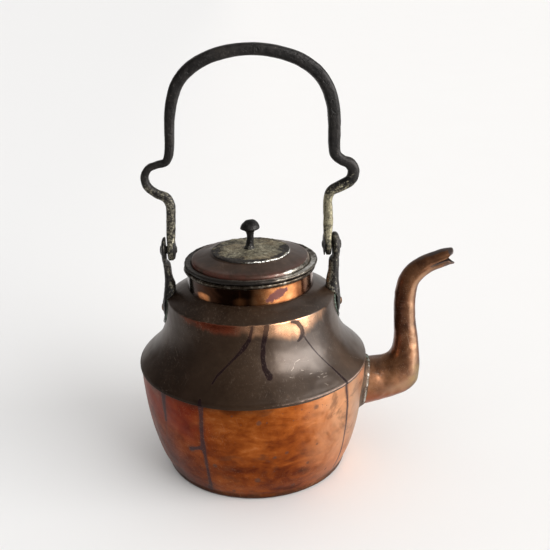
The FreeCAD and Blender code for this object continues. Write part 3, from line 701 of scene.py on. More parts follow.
def plain_worn(name, stops, seed, metallic, rough, size=6.0):
    """Worn metal; rough is its (least, most) roughness, size its mottling in mm."""
    mat, noise, mix, paint = material(name)
    broad = noise(size, 5, 0.65, seed, warp=0.5)
    fine = noise(size * 0.22, 4, 0.7, seed + 1)
    mat.color = mat.ramp(broad * 0.65 + fine * 0.35, *stops)
    return mat.finish(metallic, fine.lerp(*rough),
                      mat.bump(broad * 0.8 + fine * 0.5, depth=0.4, strength=0.85))


M_WALL = copper_rubbed()
M_PATINA = copper_patina()
M_NECK = copper_neck()
M_LID = copper_lid()
M_TIN = tinned()
M_PLATE = corroded_tin()
M_BAIL = iron("black_iron", seed=141, shade=0.72)
M_FORGED = iron("forged_iron", seed=241)
M_KNOB = iron("knob_iron", seed=341, shade=0.55)
M_SPOUT = spout_copper()
M_ROOT = root_solder()
M_VERDIGRIS = verdigris()
M_INNER = plain_worn(
    "tinned_inside",
    ((0.34, 0.10, 0.085, 0.07), (0.50, 0.24, 0.22, 0.19), (0.66, 0.42, 0.40, 0.36)),
    seed=191, metallic=0.8, rough=(0.45, 0.65))
M_RIVET = plain_worn(
    "copper_rivet",
    ((0.34, 0.045, 0.026, 0.016), (0.50, 0.15, 0.080, 0.042), (0.66, 0.38, 0.21, 0.12)),
    seed=195, metallic=0.85, rough=(0.34, 0.52), size=3.0)
M_FOOT = plain_worn(
    "copper_foot",
    ((0.34, 0.030, 0.014, 0.009), (0.48, 0.13, 0.050, 0.024), (0.60, 0.34, 0.130, 0.055),
     (0.72, 0.52, 0.24, 0.11)),
    seed=199, metallic=0.85, rough=(0.40, 0.62), size=11.0)


# ---------------------------------------------------------------- turned pieces
def wrapped(degrees):
    return (degrees + 180.0) % 360.0 - 180.0


def arc_from(deg, start, radius):
    """Distance in mm round the surface from the angle start."""
    return np.radians(wrapped(deg - start)) * radius


def run_mask(deg, z, radius, runs):
    """Lines (points in degrees and mm, half widths in mm): 1 on one, 0 at 3 half widths."""
    mask = np.zeros(z.shape)
    for points, half in runs:
        half = np.broadcast_to(half, len(points))
        nearest = np.full(z.shape, 1e9)
        for k in range(len(points) - 1):
            (deg0, z0), (deg1, z1) = points[k], points[k + 1]
            x = arc_from(deg, deg0, radius)
            dx, dz = arc_from(deg1, deg0, radius), z1 - z0
            t = np.clip((x * dx + (z - z0) * dz) / (dx * dx + dz * dz + 1e-9), 0, 1)
            width = half[k] * (1 - t) + half[k + 1] * t
            nearest = np.minimum(nearest, np.hypot(x - t * dx, z - z0 - t * dz) / width)
        mask = np.maximum(mask, np.clip(1 - nearest / 3.0, 0, 1))
    return mask


def dents(deg, radius, along, table, squash):
    """Soft dents from rows of degrees, place along, width, height; squash scales the length."""
    total = 0.0
    for centre, place, width, height in table:
        x = arc_from(deg, centre, radius)
        total = total + height * np.exp(-((x / width) ** 2
                                          + ((along - place) / (width * squash)) ** 2))
    return total


def ring_points(angle, radius):
    """Points on a flat circle, where noise is sampled for wobbles that only vary round it."""
    return np.stack([np.cos(angle) * radius, np.sin(angle) * radius, angle * 0], -1)


def turned(path, count, squeeze=0.28, push=None, closed=True, inner=None):
    """Points, angles, heights and radii of a turned section of (radius, height).

    squeeze crowds the points on the -Y side. push(angle, z, radius, pts) gives a move along
    the normal and a lift; rows from inner on follow the outer skin instead of moving against it.
    """
    path = np.asarray(path, float)
    angle = full_turn(count)
    angle = np.tile(angle - squeeze * np.cos(angle), (len(path), 1))
    radius = np.repeat(path[:, :1], count, 1)
    z = np.repeat(path[:, 1:], count, 1)
    pts = np.stack([radius * np.cos(angle), radius * np.sin(angle), z], -1)
    if push is not None:
        move, lift = push(angle, z, radius, pts)
        if inner is not None:
            move = move * np.where(np.arange(len(path)) >= inner, -1.0, 1.0)[:, None]
        normal = normals_of(path, closed)
        radius = radius + normal[:, :1] * move
        z = z + lift + normal[:, 1:] * move
        pts = np.stack([radius * np.cos(angle), radius * np.sin(angle), z], -1)
    return pts, angle, z, radius


# ---------------------------------------------------------------- lower wall
CORNER = 2.2                                   # outer radius of the foot corner
HOLE_HALF_WIDTH, HOLE_HALF_HEIGHT, HOLE_Z = 20.0, 20.4, 66.5     # opening into the spout

wall_out = chain(straight((70, 0), (78.2, 0), 7), arc((78.2, CORNER), CORNER, -90, 0, 8),
                 hermite([(80.4, 2.2), (80.45, 3.4), (80.6, 4.6)] + WALL[1:], step=0.80 / DENSITY))
wall_in = chain(offset(hermite(WALL, step=2.4 / DENSITY), SHEET)[::-1],
                arc((77.6, 2.8), 1.6, 0, -90, 5), straight((77.4, SHEET), (70, SHEET), 3))

# degrees, height, width, depth (negative goes in)
WALL_DENTS = [
    (-148, 88, 9, -0.8), (-143, 70, 12, -0.55), (-128, 60, 14, -0.5), (-100, 30, 16, -0.45),
    (-73, 55, 18, -0.4), (-45, 84, 7, -0.7), (-38, 74, 6, 0.45), (-36, 92, 6, -0.55),
    (-30, 45, 12, -0.6), (-95, 74, 20, 0.35), (-60, 22, 13, -0.35), (-20, 60, 14, -0.4),
    (60, 40, 18, -0.6), (110, 70, 16, -0.6), (160, 35, 15, -0.5), (140, 80, 11, -0.5),
    (85, 85, 9, -0.45)]
# points (degrees, height), half widths
WALL_RUNS = [
    ([(-116.0, 99.5), (-116.0, 96.9), (-116.2, 84.6), (-116.8, 72.7), (-117.0, 61.5),
      (-116.9, 54.0)], [3.4, 2.6, 2.1, 2.0, 2.4, 1.8]),
    ([(-117.0, 58.0), (-116.7, 46.8), (-116.9, 29.7), (-117.6, 14.6), (-119.5, 6.0)],
     [2.6, 1.5, 1.4, 1.9, 2.8]),
    ([(-117.2, 55.0), (-120.5, 53.0), (-124.9, 50.0)], [2.4, 1.7, 2.2]),
    ([(-39.4, 99.0), (-39.0, 92.1), (-38.1, 81.8), (-37.4, 67.4), (-36.6, 48.2), (-36.2, 26.1),
      (-37.5, 9.0)], [2.0, 1.7, 1.3, 1.2, 1.1, 1.0, 0.7]),
    ([(-139.4, 99.0), (-139.7, 84.1), (-140.7, 68.5)], [3.6, 2.6, 1.6]),
    ([(68, 99), (69, 82), (68, 61), (70, 30)], [2.6, 2.0, 1.4, 0.9]),
    ([(128, 99), (127, 88), (128, 72)], [2.2, 1.7, 0.8])]
FAINT_RUN = [([(-140.7, 68.5), (-142.3, 48.5), (-144.9, 27.6), (-148.2, 9.3)],
              [1.6, 1.5, 1.4, 1.6])]
# degrees, height, width
WALL_SPOTS = [
    (-88.8, 83.6, 3.0), (-84.9, 83.1, 1.2), (-58.3, 51.2, 1.9), (-91.8, 39.6, 0.9),
    (-90.1, 24.3, 3.4), (-112.0, 37.6, 2.6), (-124.2, 49.5, 2.6), (-77.3, 89.6, 1.0),
    (-71.9, 81.2, 0.9), (-67.8, 89.8, 1.0), (-75.0, 50.5, 2.2), (-81.1, 47.8, 2.0),
    (-60, 88, 2.8), (-101, 90, 1.4), (-63, 34, 2.2), (-70, 12, 2.6), (-104, 9, 2.4),
    (-48, 16, 2.0), (20, 70, 2.5), (95, 60, 3.0), (150, 45, 3.2), (-170, 60, 2.6)]


def wall_push(angle, z, radius, pts):
    deg = wrapped(np.degrees(angle))
    move = 0.42 * fbm(pts, 34, 2, 1) + 0.16 * fbm(pts, 11, 2, 2)
    move = move + 0.30 * np.sin(2 * angle + 0.6) + 0.18 * np.sin(3 * angle + 2.1)
    move = move + dents(deg, radius, z, WALL_DENTS, squash=0.8)
    # upright planishing facets towards -X
    facets = 0.12 * np.sin(deg / 3.1 + 2.0 * value_noise(pts / 30))
    move = move + facets * smooth(-90, -140, deg) * (np.abs(deg) < 175)
    foot = (np.interp(deg, [-180, -150, -110, -80, -50, -20, 20, 60, 180],
                      [0.4, 0.6, 1.5, 2.2, 2.3, 1.5, 0.4, 0.0, 0.4])
            * smooth(88.0, 18.0, z) * smooth(70.5, 76.5, radius))
    return move * smooth(0.0, 12.0, z) * np.where(z > 96, 0.6, 1.0) + foot


pts, angle, z, radius = turned(np.vstack([wall_out, wall_in]), int(520 * DENSITY))
scale = 1 + wall_push(angle, z, radius, pts) / np.maximum(radius, 1)
pts[..., :2] *= scale[..., None]
pts[..., 2] += 0.25 * np.sin(3 * angle + 1.0) * (1 - smooth(0, 9, z)) * smooth(0.3, 2.0, z)
radius, z = np.hypot(pts[..., 0], pts[..., 1]), pts[..., 2]
deg = wrapped(np.degrees(angle))
stain = np.maximum(run_mask(deg, z, radius, WALL_RUNS),
                   0.64 * run_mask(deg, z, radius, FAINT_RUN))
spot = np.zeros(z.shape)
for centre, height, width in WALL_SPOTS:
    x = arc_from(deg, centre, radius)
    spot = np.maximum(spot, np.exp(-((x ** 2 + (z - height) ** 2) / (width * width))))

# Cut the spout opening and move its rim onto an ellipse.
rows, columns = z.shape
faces = grid_faces(rows, columns)
verts = pts.reshape(-1, 3)
middle = verts[faces].mean(1)
reach = np.hypot(middle[:, 1] / HOLE_HALF_WIDTH, (middle[:, 2] - HOLE_Z) / HOLE_HALF_HEIGHT)
cut = (reach < 1.0) & (middle[:, 0] > 0)
kept = faces[~cut]
rim = np.intersect1d(np.unique(faces[cut]), np.unique(kept))
reach = np.hypot(verts[rim, 1] / HOLE_HALF_WIDTH, (verts[rim, 2] - HOLE_Z) / HOLE_HALF_HEIGHT)
rim_radius = np.hypot(verts[rim, 0], verts[rim, 1])
verts[rim, 1] /= reach
verts[rim, 2] = HOLE_Z + (verts[rim, 2] - HOLE_Z) / reach
verts[rim, 0] = np.sqrt(rim_radius ** 2 - verts[rim, 1] ** 2)

# Bridge the outer and inner rims with triangles, taken in order round the opening.
around = np.arctan2(verts[rim, 2] - HOLE_Z, verts[rim, 1])
is_inner = rim // columns >= len(wall_out)
outer_rim = rim[~is_inner][np.argsort(around[~is_inner])]
inner_rim = rim[is_inner][np.argsort(around[is_inner])]
outer_turn, inner_turn = np.sort(around[~is_inner]), np.sort(around[is_inner])
outer_count, inner_count = len(outer_rim), len(inner_rim)
bridge = []
i = j = 0
while i < outer_count or j < inner_count:
    next_i = outer_turn[i + 1] if i + 1 < outer_count else outer_turn[0] + 2 * math.pi
    next_j = inner_turn[j + 1] if j + 1 < inner_count else inner_turn[0] + 2 * math.pi
    outer_at, inner_at = outer_rim[i % outer_count], inner_rim[j % inner_count]
    if j >= inner_count or (i < outer_count and next_i <= next_j):
        bridge.append([outer_at, outer_rim[(i + 1) % outer_count], inner_at])
        i += 1
    else:
        bridge.append([outer_at, inner_rim[(j + 1) % inner_count], inner_at])
        j += 1
bridge = np.array(bridge)
# The bridge must run against the edges of the kept faces.
edges = np.vstack([kept[:, [k, (k + 1) % 4]] for k in range(4)])
used = set(map(tuple, edges[np.isin(edges, rim).all(1)].tolist()))
if sum((first, second) in used for first, second, _ in bridge.tolist()) > len(bridge) / 4:
    bridge = bridge[:, ::-1]
live = np.unique(np.concatenate([kept.reshape(-1), bridge.reshape(-1)]))
renumber = np.full(len(verts), -1)
renumber[live] = np.arange(len(live))
slots = np.append(skin_slots(kept, columns, len(wall_out)), np.zeros(len(bridge), int))
build("kettle_wall", (verts[live], [renumber[kept], renumber[bridge]]), "root",
      [M_WALL, M_INNER], ("lower_body_wall",),
      {"stain": stain.reshape(-1)[live], "spot": spot.reshape(-1)[live]}, slots)

# ---------------------------------------------------------------- shoulder
flank = hermite([(100.42, 98.8), (100.05, 99.8), (98.9, 101.1), (96.9, 103.2)] + FLANK[3:],
                step=0.72 / DENSITY)
CRISP_EDGE = [(72.65, 155.4), (72.5, 156.1), (72.15, 156.75), (71.6, 157.2), (70.8, 157.6)]
cone = straight(CRISP_EDGE[-1], (54.15, 165.9), int(20 * DENSITY) + 3)
shoulder_out = chain(straight((99.2, 96.2), (100.3, 96.2), 3),
                     straight((100.45, 96.45), (100.45, 98.5), 4), flank[:-1], CRISP_EDGE, cone)
shoulder_in = chain(offset(cone, SHEET)[::-5], offset(flank[3:], SHEET)[::-4], [(99.2, 99.2)],
                    straight((99.2, 98.9), (99.2, 96.5), 3))
SHOULDER_DENTS = [
    (-120, 108, 12, -0.5), (-86, 112, 16, -0.35), (-66, 118, 11, -0.55), (-52, 106, 10, -0.45),
    (-47, 124, 9, -0.35), (-100, 126, 13, 0.3), (-138, 120, 12, -0.5), (-30, 112, 12, -0.4),
    (30, 110, 14, -0.5), (80, 115, 16, -0.5), (140, 108, 15, -0.6), (170, 125, 12, -0.4)]
SHOULDER_RUNS = [
    ([(-90.2, 156.2), (-90.3, 154.1), (-91.3, 148.4), (-92.3, 144.3), (-94.9, 139.4),
      (-97.4, 135.4)], [1.6, 1.5, 1.4, 1.6, 2.0, 1.5]),
    ([(-97.4, 135.4), (-101.7, 129.6), (-106.1, 123.4), (-110.7, 116.7), (-112.5, 111.3)],
     [1.4, 1.0, 0.8, 0.8, 0.7]),
    ([(-80.8, 157.6), (-80.6, 156.0), (-81.9, 149.2), (-83.6, 139.5), (-84.4, 129.3),
      (-83.7, 121.9), (-81.5, 116.0)], [2.0, 2.3, 2.4, 2.1, 2.0, 2.4, 3.0]),
    ([(-63.6, 157.4), (-63.2, 156.0), (-59.5, 153.3), (-56.9, 148.2), (-56.3, 143.0),
      (-58.0, 140.2), (-60.3, 138.4)], [1.6, 2.2, 1.9, 1.9, 2.2, 2.0, 1.2]),
    ([(-56.0, 141.3), (-51.1, 130.0), (-46.6, 119.5), (-42.9, 110.5), (-40.9, 102.0),
      (-39.8, 97.0)], [0.9, 0.7, 0.6, 0.7, 1.2, 1.6]),
    ([(-116.3, 100.4), (-116.1, 96.0)], [1.2, 2.2]),
    ([(66, 157), (66, 146), (69, 131), (67, 112), (68, 97)], [2.0, 1.9, 1.4, 1.6, 2.2]),
    ([(127, 157), (128, 143), (127, 124), (128, 97)], [1.6, 1.5, 1.2, 1.8])]
SHOULDER_SCRATCHES = [
    ([(-68.5, 117.5), (-66.8, 119.0), (-64.9, 122.9)], 0.42),
    ([(-64.9, 122.9), (-61.2, 124.0)], 0.42), ([(-62.6, 116.2), (-61.2, 115.8)], 0.5),
    ([(-55.2, 109.9), (-53.6, 108.8)], 0.42), ([(-52.6, 104.2), (-51.6, 102.6)], 0.42),
    ([(-58.5, 112.5), (-56.8, 112.6)], 0.35), ([(-72, 125.5), (-70.4, 126.5)], 0.35),
    ([(-54, 113), (-50, 111.2)], 0.3), ([(-53.5, 110.2), (-48.5, 109.4)], 0.3),
    ([(-52, 107.8), (-47, 107.6)], 0.3), ([(-57, 121.5), (-54.4, 121.0)], 0.3),
    ([(-70.5, 113.6), (-69.0, 113.0)], 0.4), ([(-24, 109), (-19.5, 104)], 0.35),
    ([(40, 118), (44, 122)], 0.5), ([(100, 110), (103, 116)], 0.5)]


def shoulder_push(angle, z, radius, pts):
    deg = wrapped(np.degrees(angle))
    move = (0.36 * fbm(pts, 30, 2, 3) + 0.13 * fbm(pts, 9, 2, 4)
            + 0.28 * np.sin(2 * angle + 0.6) + 0.14 * np.sin(3 * angle + 1.9))
    move = move + dents(deg, radius, z, SHOULDER_DENTS, squash=0.7)
    fade = smooth(54, 62, radius)
    lap = 0.42 * np.sin(2 * angle + 1.4) + 0.30 * fbm(ring_points(angle, 90), 22, 3, 5)
    crisp = 0.35 * fbm(ring_points(angle, 72), 26, 2, 6) * np.exp(-((z - 157) / 4.0) ** 2)
    return move * fade * np.where(z < 100, 0.45, 1.0), lap * smooth(104, 97, z) + crisp * fade


pts, angle, z, radius = turned(np.vstack([shoulder_out, shoulder_in]), int(560 * DENSITY),
                               push=shoulder_push, inner=len(shoulder_out))
deg = wrapped(np.degrees(angle))
stain = run_mask(deg, z, radius, SHOULDER_RUNS) * smooth(156.9, 155.9, z)
# bright metal, partly a painted highlight: lower limit, amount and height of its full strength
# round the body; it reaches lowest and is strongest on the front right
low = np.interp(
    deg, [-180, -150, -128, -112, -100, -90, -80, -70, -60, -50, -42, -34, -20, 30, 90, 180],
    [152, 151.5, 150, 148.5, 147.5, 146, 142, 137.5, 136, 138.5, 142.5, 148, 151, 151, 150, 152])
amount = np.interp(
    deg, [-180, -152, -140, -118, -100, -88, -74, -60, -44, -30, 0, 60, 120, 180],
    [0.20, 0.15, 0.42, 0.92, 0.82, 0.78, 1.0, 1.02, 0.62, 0.30, 0.30, 0.45, 0.5, 0.25])
peak = low + np.interp(deg, [-180, -110, -85, -65, -45, 180], [5, 7, 12, 17, 13, 6])
bare_metal_and_highlight = amount * smooth(low - 5.0, peak, z) * smooth(157.1, 155.6, z) * (radius > 70)
# the worn lap edge with a painted highlight, strongest on the front right, and a painted highlight
# along the crisp edge
edge = (smooth(1.5, 0.2, np.abs(z - 98.2)) * (radius > 98.0)
        * np.interp(deg, [-180, -150, -120, -90, -70, -45, -25, 0, 90, 180],
                    [0.5, 0.3, 0.25, 0.3, 0.62, 0.80, 0.85, 0.5, 0.5, 0.5]))
crisp = 0.40 * np.exp(-((z - 156.9) / 0.7) ** 2) * (radius > 71) * (radius < 73.6)
dull = (smooth(101.2, 99.6, z) * (radius > 97.0)
        * np.interp(deg, [-180, -120, -85, -60, -30, 0, 180], [1, 1, 0.9, 0.35, 0.3, 0.6, 1]))
mesh = ring_mesh(pts)
build("kettle_shoulder", mesh, "root", [M_PATINA, M_INNER], ("shoulder_shell",),
      {"stain": stain, "bare_metal_and_highlight": bare_metal_and_highlight, "edge": np.maximum(edge, crisp),
       "spot": run_mask(deg, z, radius, SHOULDER_SCRATCHES), "dull": dull},
      skin_slots(mesh[1][0], z.shape[1], len(shoulder_out) - 1))

# ---------------------------------------------------------------- neck
neck_out = chain(straight((54.1, 163.0), (54.12, 179.4), 15), [(54.2, 180.2), (54.7, 180.7)],
                 arc((54.9, 182.5), 1.85, -78, 176, 20))
neck_in = straight((53.1, 181.8), (53.1, 163.0), 8)
NECK_RUNS = [([(-76, 169.5), (-71.8, 171.4), (-65.1, 174.2), (-58.0, 175.8)],
              [1.6, 2.6, 2.9, 1.7])]
FAINT_NECK_RUN = [([(70, 169.0), (76, 174.0)], [2.0, 1.6])]


def neck_push(angle, z, radius, pts):
    move = 0.22 * fbm(pts, 20, 2, 7) + 0.10 * fbm(pts, 6, 2, 8) + 0.16 * np.sin(2 * angle + 0.6)
    bead = smooth(179.6, 181.6, z)
    move = move * (radius > 53.6) + bead * (radius > 54.4) * (0.26 * fbm(pts, 7, 3, 9))
    return move, bead * 0.30 * fbm(ring_points(angle, 56), 15, 3, 10) * (z < 184)


pts, angle, z, radius = turned(np.vstack([neck_out, neck_in]), int(440 * DENSITY),
                               push=neck_push, inner=len(neck_out))
deg = wrapped(np.degrees(angle))
# painted reflections: dark and light upright bands round the neck
shade = np.interp(
    deg, [-180, -160, -146, -139, -133, -127, -122, -107, -100, -93, -86, -78, -71, -60, -53,
          -44, -32, -15, 10, 40, 80, 110, 140, 180],
    [0.35, 0.05, 0.25, 0.95, 0.75, 0.15, 0.10, 0.18, 0.62, 0.34, 0.66, 1.0, 0.85, 0.85, 1.0,
     0.66, 0.42, 0.50, 0.35, 0.70, 0.40, 0.75, 0.45, 0.35])
# painted shade under the rim on the -X side
shade = shade - 0.9 * smooth(170.5, 174.5, z) * np.interp(
    deg, [-180, -170, -125, -95, -80, 180], [0, 1, 1, 0.3, 0, 0])
mesh = ring_mesh(pts)
build("kettle_neck", mesh, "root", [M_NECK, M_INNER], ("neck_collar", "neck_rim_wire"),
      {"stain": np.maximum(run_mask(deg, z, radius, NECK_RUNS),
                           0.8 * run_mask(deg, z, radius, FAINT_NECK_RUN)),
       "tin": smooth(179.0, 180.8, z),
       # painted shade at the foot of the neck and under the rolled bead
       "grime_and_shade": np.maximum(smooth(167.4, 165.2, z) * 0.9,
                           0.95 * np.exp(-((z - 180.0) / 0.8) ** 2) * (radius < 54.8)),
       "shade": shade},
      skin_slots(mesh[1][0], z.shape[1], len(neck_out) - 1))

# ---------------------------------------------------------------- lid
RIM_Z = 184.75          # underside of the rim ring
COVER_Z = RIM_Z + 1.62  # foot of the cover
PLATE_Z = 195.02        # underside of the centre plate
STEM_HOLE = 2.45        # radius of the hole for the knob
LID_SHIFT = 0.75        # the lid sits a little off centre in X

rim_path = chain(
    straight((49.8, RIM_Z), (55.6, RIM_Z), 5), arc((55.75, RIM_Z + 1.55), 1.6, -80, 96, 14),
    hermite([(55.2, RIM_Z + 3.02), (54.5, RIM_Z + 2.72), (53.6, RIM_Z + 2.62),
             (52.6, RIM_Z + 2.66), (51.9, RIM_Z + 2.50)], step=0.45),
    [(51.35, RIM_Z + 2.1), (51.2, RIM_Z + 1.6)],
    straight((51.0, RIM_Z + 1.6), (49.8, RIM_Z + 1.6), 3))


def rim_push(angle, z, radius, pts):
    move = (0.34 * fbm(pts, 9, 3, 12) + 0.20 * fbm(pts, 3.2, 2, 13)) * smooth(53.0, 54.6, radius)
    move = move + 0.22 * np.sin(3 * angle + 0.4) * (radius > 55)
    lift = (0.24 * fbm(ring_points(angle, 57), 15, 3, 14)
            * smooth(RIM_Z + 0.4, RIM_Z + 1.5, z) * smooth(51.6, 53.0, radius))
    return move, np.maximum(lift, -0.15)


pts, angle, z, radius = turned(rim_path, int(440 * DENSITY), push=rim_push)
pts[..., 0] += LID_SHIFT
deg = wrapped(np.degrees(angle))
# worn tinning round the rim, partly real and partly a painted highlight strongest on the front
# right; the inner band is a painted highlight line where the brim meets the cover at the front
tin = np.interp(deg, [-180, -150, -120, -100, -85, -70, -45, -15, 10, 60, 120, 180],
                [0.20, 0.30, 0.15, 0.25, 0.70, 0.90, 1.0, 1.0, 0.7, 0.5, 0.4, 0.20])
inner_tin_highlight = np.interp(deg, [-180, -118, -104, -70, -50, 180], [0, 0, 0.85, 0.9, 0, 0])
tin = (np.maximum(tin, inner_tin_highlight * smooth(54.2, 53.2, radius))
       + 0.12 * smooth(-85, -60, deg) * smooth(10, -10, deg))
tin = tin - 0.35 * smooth(RIM_Z + 2.0, RIM_Z + 0.6, z) - 0.45 * smooth(55.8, 56.7, radius)
# painted shadow line where the ring meets the cover, faint on the front right, and painted shade
# on the underside
inner_joint_shadow = (0.8 * smooth(52.4, 51.7, radius) * (z > RIM_Z + 1.2)
               * np.interp(deg, [-180, -60, -30, 0, 180], [1, 0.9, 0.3, 0.6, 1]))
build("lid_rim", ring_mesh(pts), "lid", [M_TIN], ("lid_rim_ring",),
      {"tin": tin, "grime_and_shade": np.maximum(smooth(RIM_Z + 0.45, RIM_Z, z), inner_joint_shadow)})

cover_out = chain(
    [(51.05, COVER_Z), (51.0, COVER_Z + 1.3)],
    hermite([(50.9, COVER_Z + 2.2), (50.5, COVER_Z + 3.3), (49.3, COVER_Z + 4.2),
             (46.8, COVER_Z + 4.9), (41.6, 192.7), (34.6, 194.75)], step=1.0 / DENSITY),
    straight((34.6, 195.0), (STEM_HOLE, 195.0), 8))
cover_in = offset(cover_out, 1.1)[::-1]
cover_in[0] = (STEM_HOLE, 193.9)
cover_in[-1] = (49.9, COVER_Z)
# degrees, radius, width, depth
COVER_DENTS = [(-120, 44, 8, -0.5), (-75, 47, 7, -0.35), (-35, 43, 9, -0.4), (60, 45, 9, -0.5),
               (150, 42, 8, -0.4)]


def cover_push(angle, z, radius, pts):
    move = ((0.30 * fbm(pts, 22, 2, 15) + 0.12 * fbm(pts, 7, 2, 16))
            * smooth(33, 38, radius) * smooth(COVER_Z - 0.1, COVER_Z + 2.0, z))
    deg = wrapped(np.degrees(angle))
    return move + dents(deg, radius, radius, COVER_DENTS, squash=0.7), 0.0


pts, angle, z, radius = turned(np.vstack([cover_out, cover_in]), int(420 * DENSITY),
                               push=cover_push, inner=len(cover_out))
pts[..., 0] += LID_SHIFT * smooth(8, 20, radius)
deg = wrapped(np.degrees(angle))
# worn tinning at the edge and by the plate; the edge band widens inwards on the front right, where
# it is partly a painted highlight
tin_start = np.interp(deg, [-180, -115, -85, -60, -10, 40, 180],
                      [49.6, 49.6, 48.6, 46.8, 46.2, 48.8, 49.6])
tin = (np.interp(deg, [-180, -160, -110, -80, -50, -20, 10, 60, 180],
                 [0.3, 0.35, 0.15, 0.35, 0.75, 0.95, 0.8, 0.3, 0.3])
       * smooth(tin_start, 51.4, radius))
tin = np.maximum(tin, 0.45 * smooth(37.5, 34.0, radius) * np.interp(
    deg, [-180, -90, -40, 0, 60, 180], [0.4, 0.6, 1.0, 0.8, 0.4, 0.4]))
build("lid_cover", ring_mesh(pts), "lid", [M_LID], ("lid_disc",), {"tin": tin})

plate_path = chain(
    [(STEM_HOLE, PLATE_Z), (20.0, PLATE_Z), (32.6, PLATE_Z), (33.5, PLATE_Z + 0.15),
     (33.75, PLATE_Z + 0.7), (33.3, PLATE_Z + 1.25), (32.4, PLATE_Z + 1.55)],
    hermite([(31.5, PLATE_Z + 1.66), (27.0, PLATE_Z + 1.75), (12.0, PLATE_Z + 2.1),
             (5.4, PLATE_Z + 2.5), (STEM_HOLE, PLATE_Z + 2.6)], step=0.8 / DENSITY))


def plate_push(angle, z, radius, pts):
    crust = 0.45 * fbm(pts, 8, 3, 17) + 0.42 * fbm(pts, 2.8, 3, 18) + 0.20 * fbm(pts, 1.5, 2, 23)
    return smooth(PLATE_Z + 0.2, PLATE_Z + 1.3, z) * crust * smooth(3, 7, radius), 0.0


pts, angle, z, radius = turned(plate_path, int(360 * DENSITY), squeeze=0.0, push=plate_push)
circle = ring_points(angle, 33)
ragged = 0.030 * fbm(circle, 14, 3, 19) + 0.010 * fbm(circle, 4, 2, 20)
pts[..., :2] *= (1 + smooth(26, 33, radius) * ragged)[..., None]
pts[..., 0] += 1.0 * smooth(6, 16, radius)
deg = wrapped(np.degrees(angle))
# solder at the plate's rim, strongest on the front right, where it is partly a painted highlight
solder = smooth(31.6, 33.4, radius) * np.interp(
    deg, [-180, -140, -110, -80, -50, -20, 10, 60, 180],
    [0.35, 0.15, 0.3, 0.8, 0.95, 0.9, 0.5, 0.3, 0.35])
# dirt and painted shade on the plate: more towards -X, and a ring in the groove inside the edge
grime_and_shade = smooth(14, 29, radius) * np.interp(
    deg, [-180, -150, -110, -60, -20, 20, 90, 180], [0.9, 0.8, 0.7, 0.45, 0.6, 0.3, 0.1, 0.9])
groove_grime_and_shade = np.interp(deg, [-180, -160, -140, -60, -20, 0, 20, 180],
                       [0.6, 0.7, 1.0, 0.85, 1.0, 1.0, 0.3, 0.4])
groove_grime_and_shade = 1.25 * groove_grime_and_shade * smooth(27.5, 30.0, radius) * smooth(32.6, 31.4, radius)
build("lid_plate", ring_mesh(pts), "lid", [M_PLATE], ("lid_centre_plate",),
      {"solder": np.maximum(solder, 0.5 * smooth(8.5, 5.0, radius)),
       "grime_and_shade": np.maximum(grime_and_shade, groove_grime_and_shade)})

knob_path = chain(
    [(0.4, 191.6), (2.0, 191.7), (2.4, 192.1), (2.4, 197.4), (4.9, 197.5)],
    hermite([(4.9, 197.8), (4.0, 199.0), (3.3, 201.4), (3.0, 204.6), (3.0, 208.0), (3.3, 210.8),
             (3.9, 212.6), (5.5, 213.9), (7.4, 214.7), (8.25, 215.3), (8.35, 216.0),
             (8.0, 217.2), (7.15, 218.8), (5.8, 220.4), (4.1, 221.7), (2.1, 222.4),
             (0.4, 222.6)], step=0.42 / DENSITY))


def knob_push(angle, z, radius, pts):
    move = 0.32 * fbm(pts, 5, 3, 21) + 0.14 * fbm(pts, 1.8, 2, 22)
    return move * smooth(197.2, 199.0, z) * smooth(0.3, 2.0, radius), 0.0


pts, angle, z, radius = turned(knob_path, int(84 * DENSITY), squeeze=0.0, closed=False,
                               push=knob_push)
# the stem bends and leans towards +X
t = np.clip((z - 198) / 24, 0, 1)
pts[..., 0] += 0.35 * np.sin(t * 5.0) * (t > 0) + 1.9 * t
pts[..., 2] += 0.05 * pts[..., 0] * t
# z already carries the lean, as a view of pts would
build("lid_knob_forged", capped_mesh(pts), "lid", [M_KNOB], ("lid_knob",),
      {"tin": np.append(smooth(205, 199, z) * 0.35, [0, 0]), "warm": 0.0})

# ---------------------------------------------------------------- spout
# inner side (x, z), outer side (x, z), half width in Y
SPOUT = [
    ((84.0, 88.6), (84.0, 43.4), 22.0), ((96.0, 88.4), (96.0, 44.6), 21.4),
    ((104.0, 88.0), (104.6, 46.1), 20.4), ((111.7, 88.2), (113.8, 48.4), 19.4),
    ((118.0, 89.4), (128.0, 51.9), 18.0), ((122.9, 92.3), (140.4, 56.9), 16.6),
    ((125.6, 97.4), (148.4, 64.9), 15.0), ((126.8, 104.4), (150.5, 80.0), 13.4),
    ((127.0, 112.3), (149.7, 95.9), 11.6), ((126.5, 121.3), (147.8, 112.3), 10.3),
    ((126.3, 131.6), (145.4, 128.6), 9.5), ((126.2, 143.5), (145.0, 143.0), 9.2),
    ((127.0, 154.5), (145.9, 154.0), 9.1), ((129.5, 163.6), (147.6, 160.3), 9.1),
    ((134.0, 171.7), (150.9, 164.3), 8.9), ((140.2, 178.5), (155.0, 168.0), 8.6),
    ((148.6, 183.4), (160.5, 171.3), 8.1), ((158.6, 187.1), (167.3, 173.8), 7.6),
    ((168.4, 189.9), (173.8, 176.0), 7.1), ((175.6, 190.9), (178.2, 177.0), 6.6)]
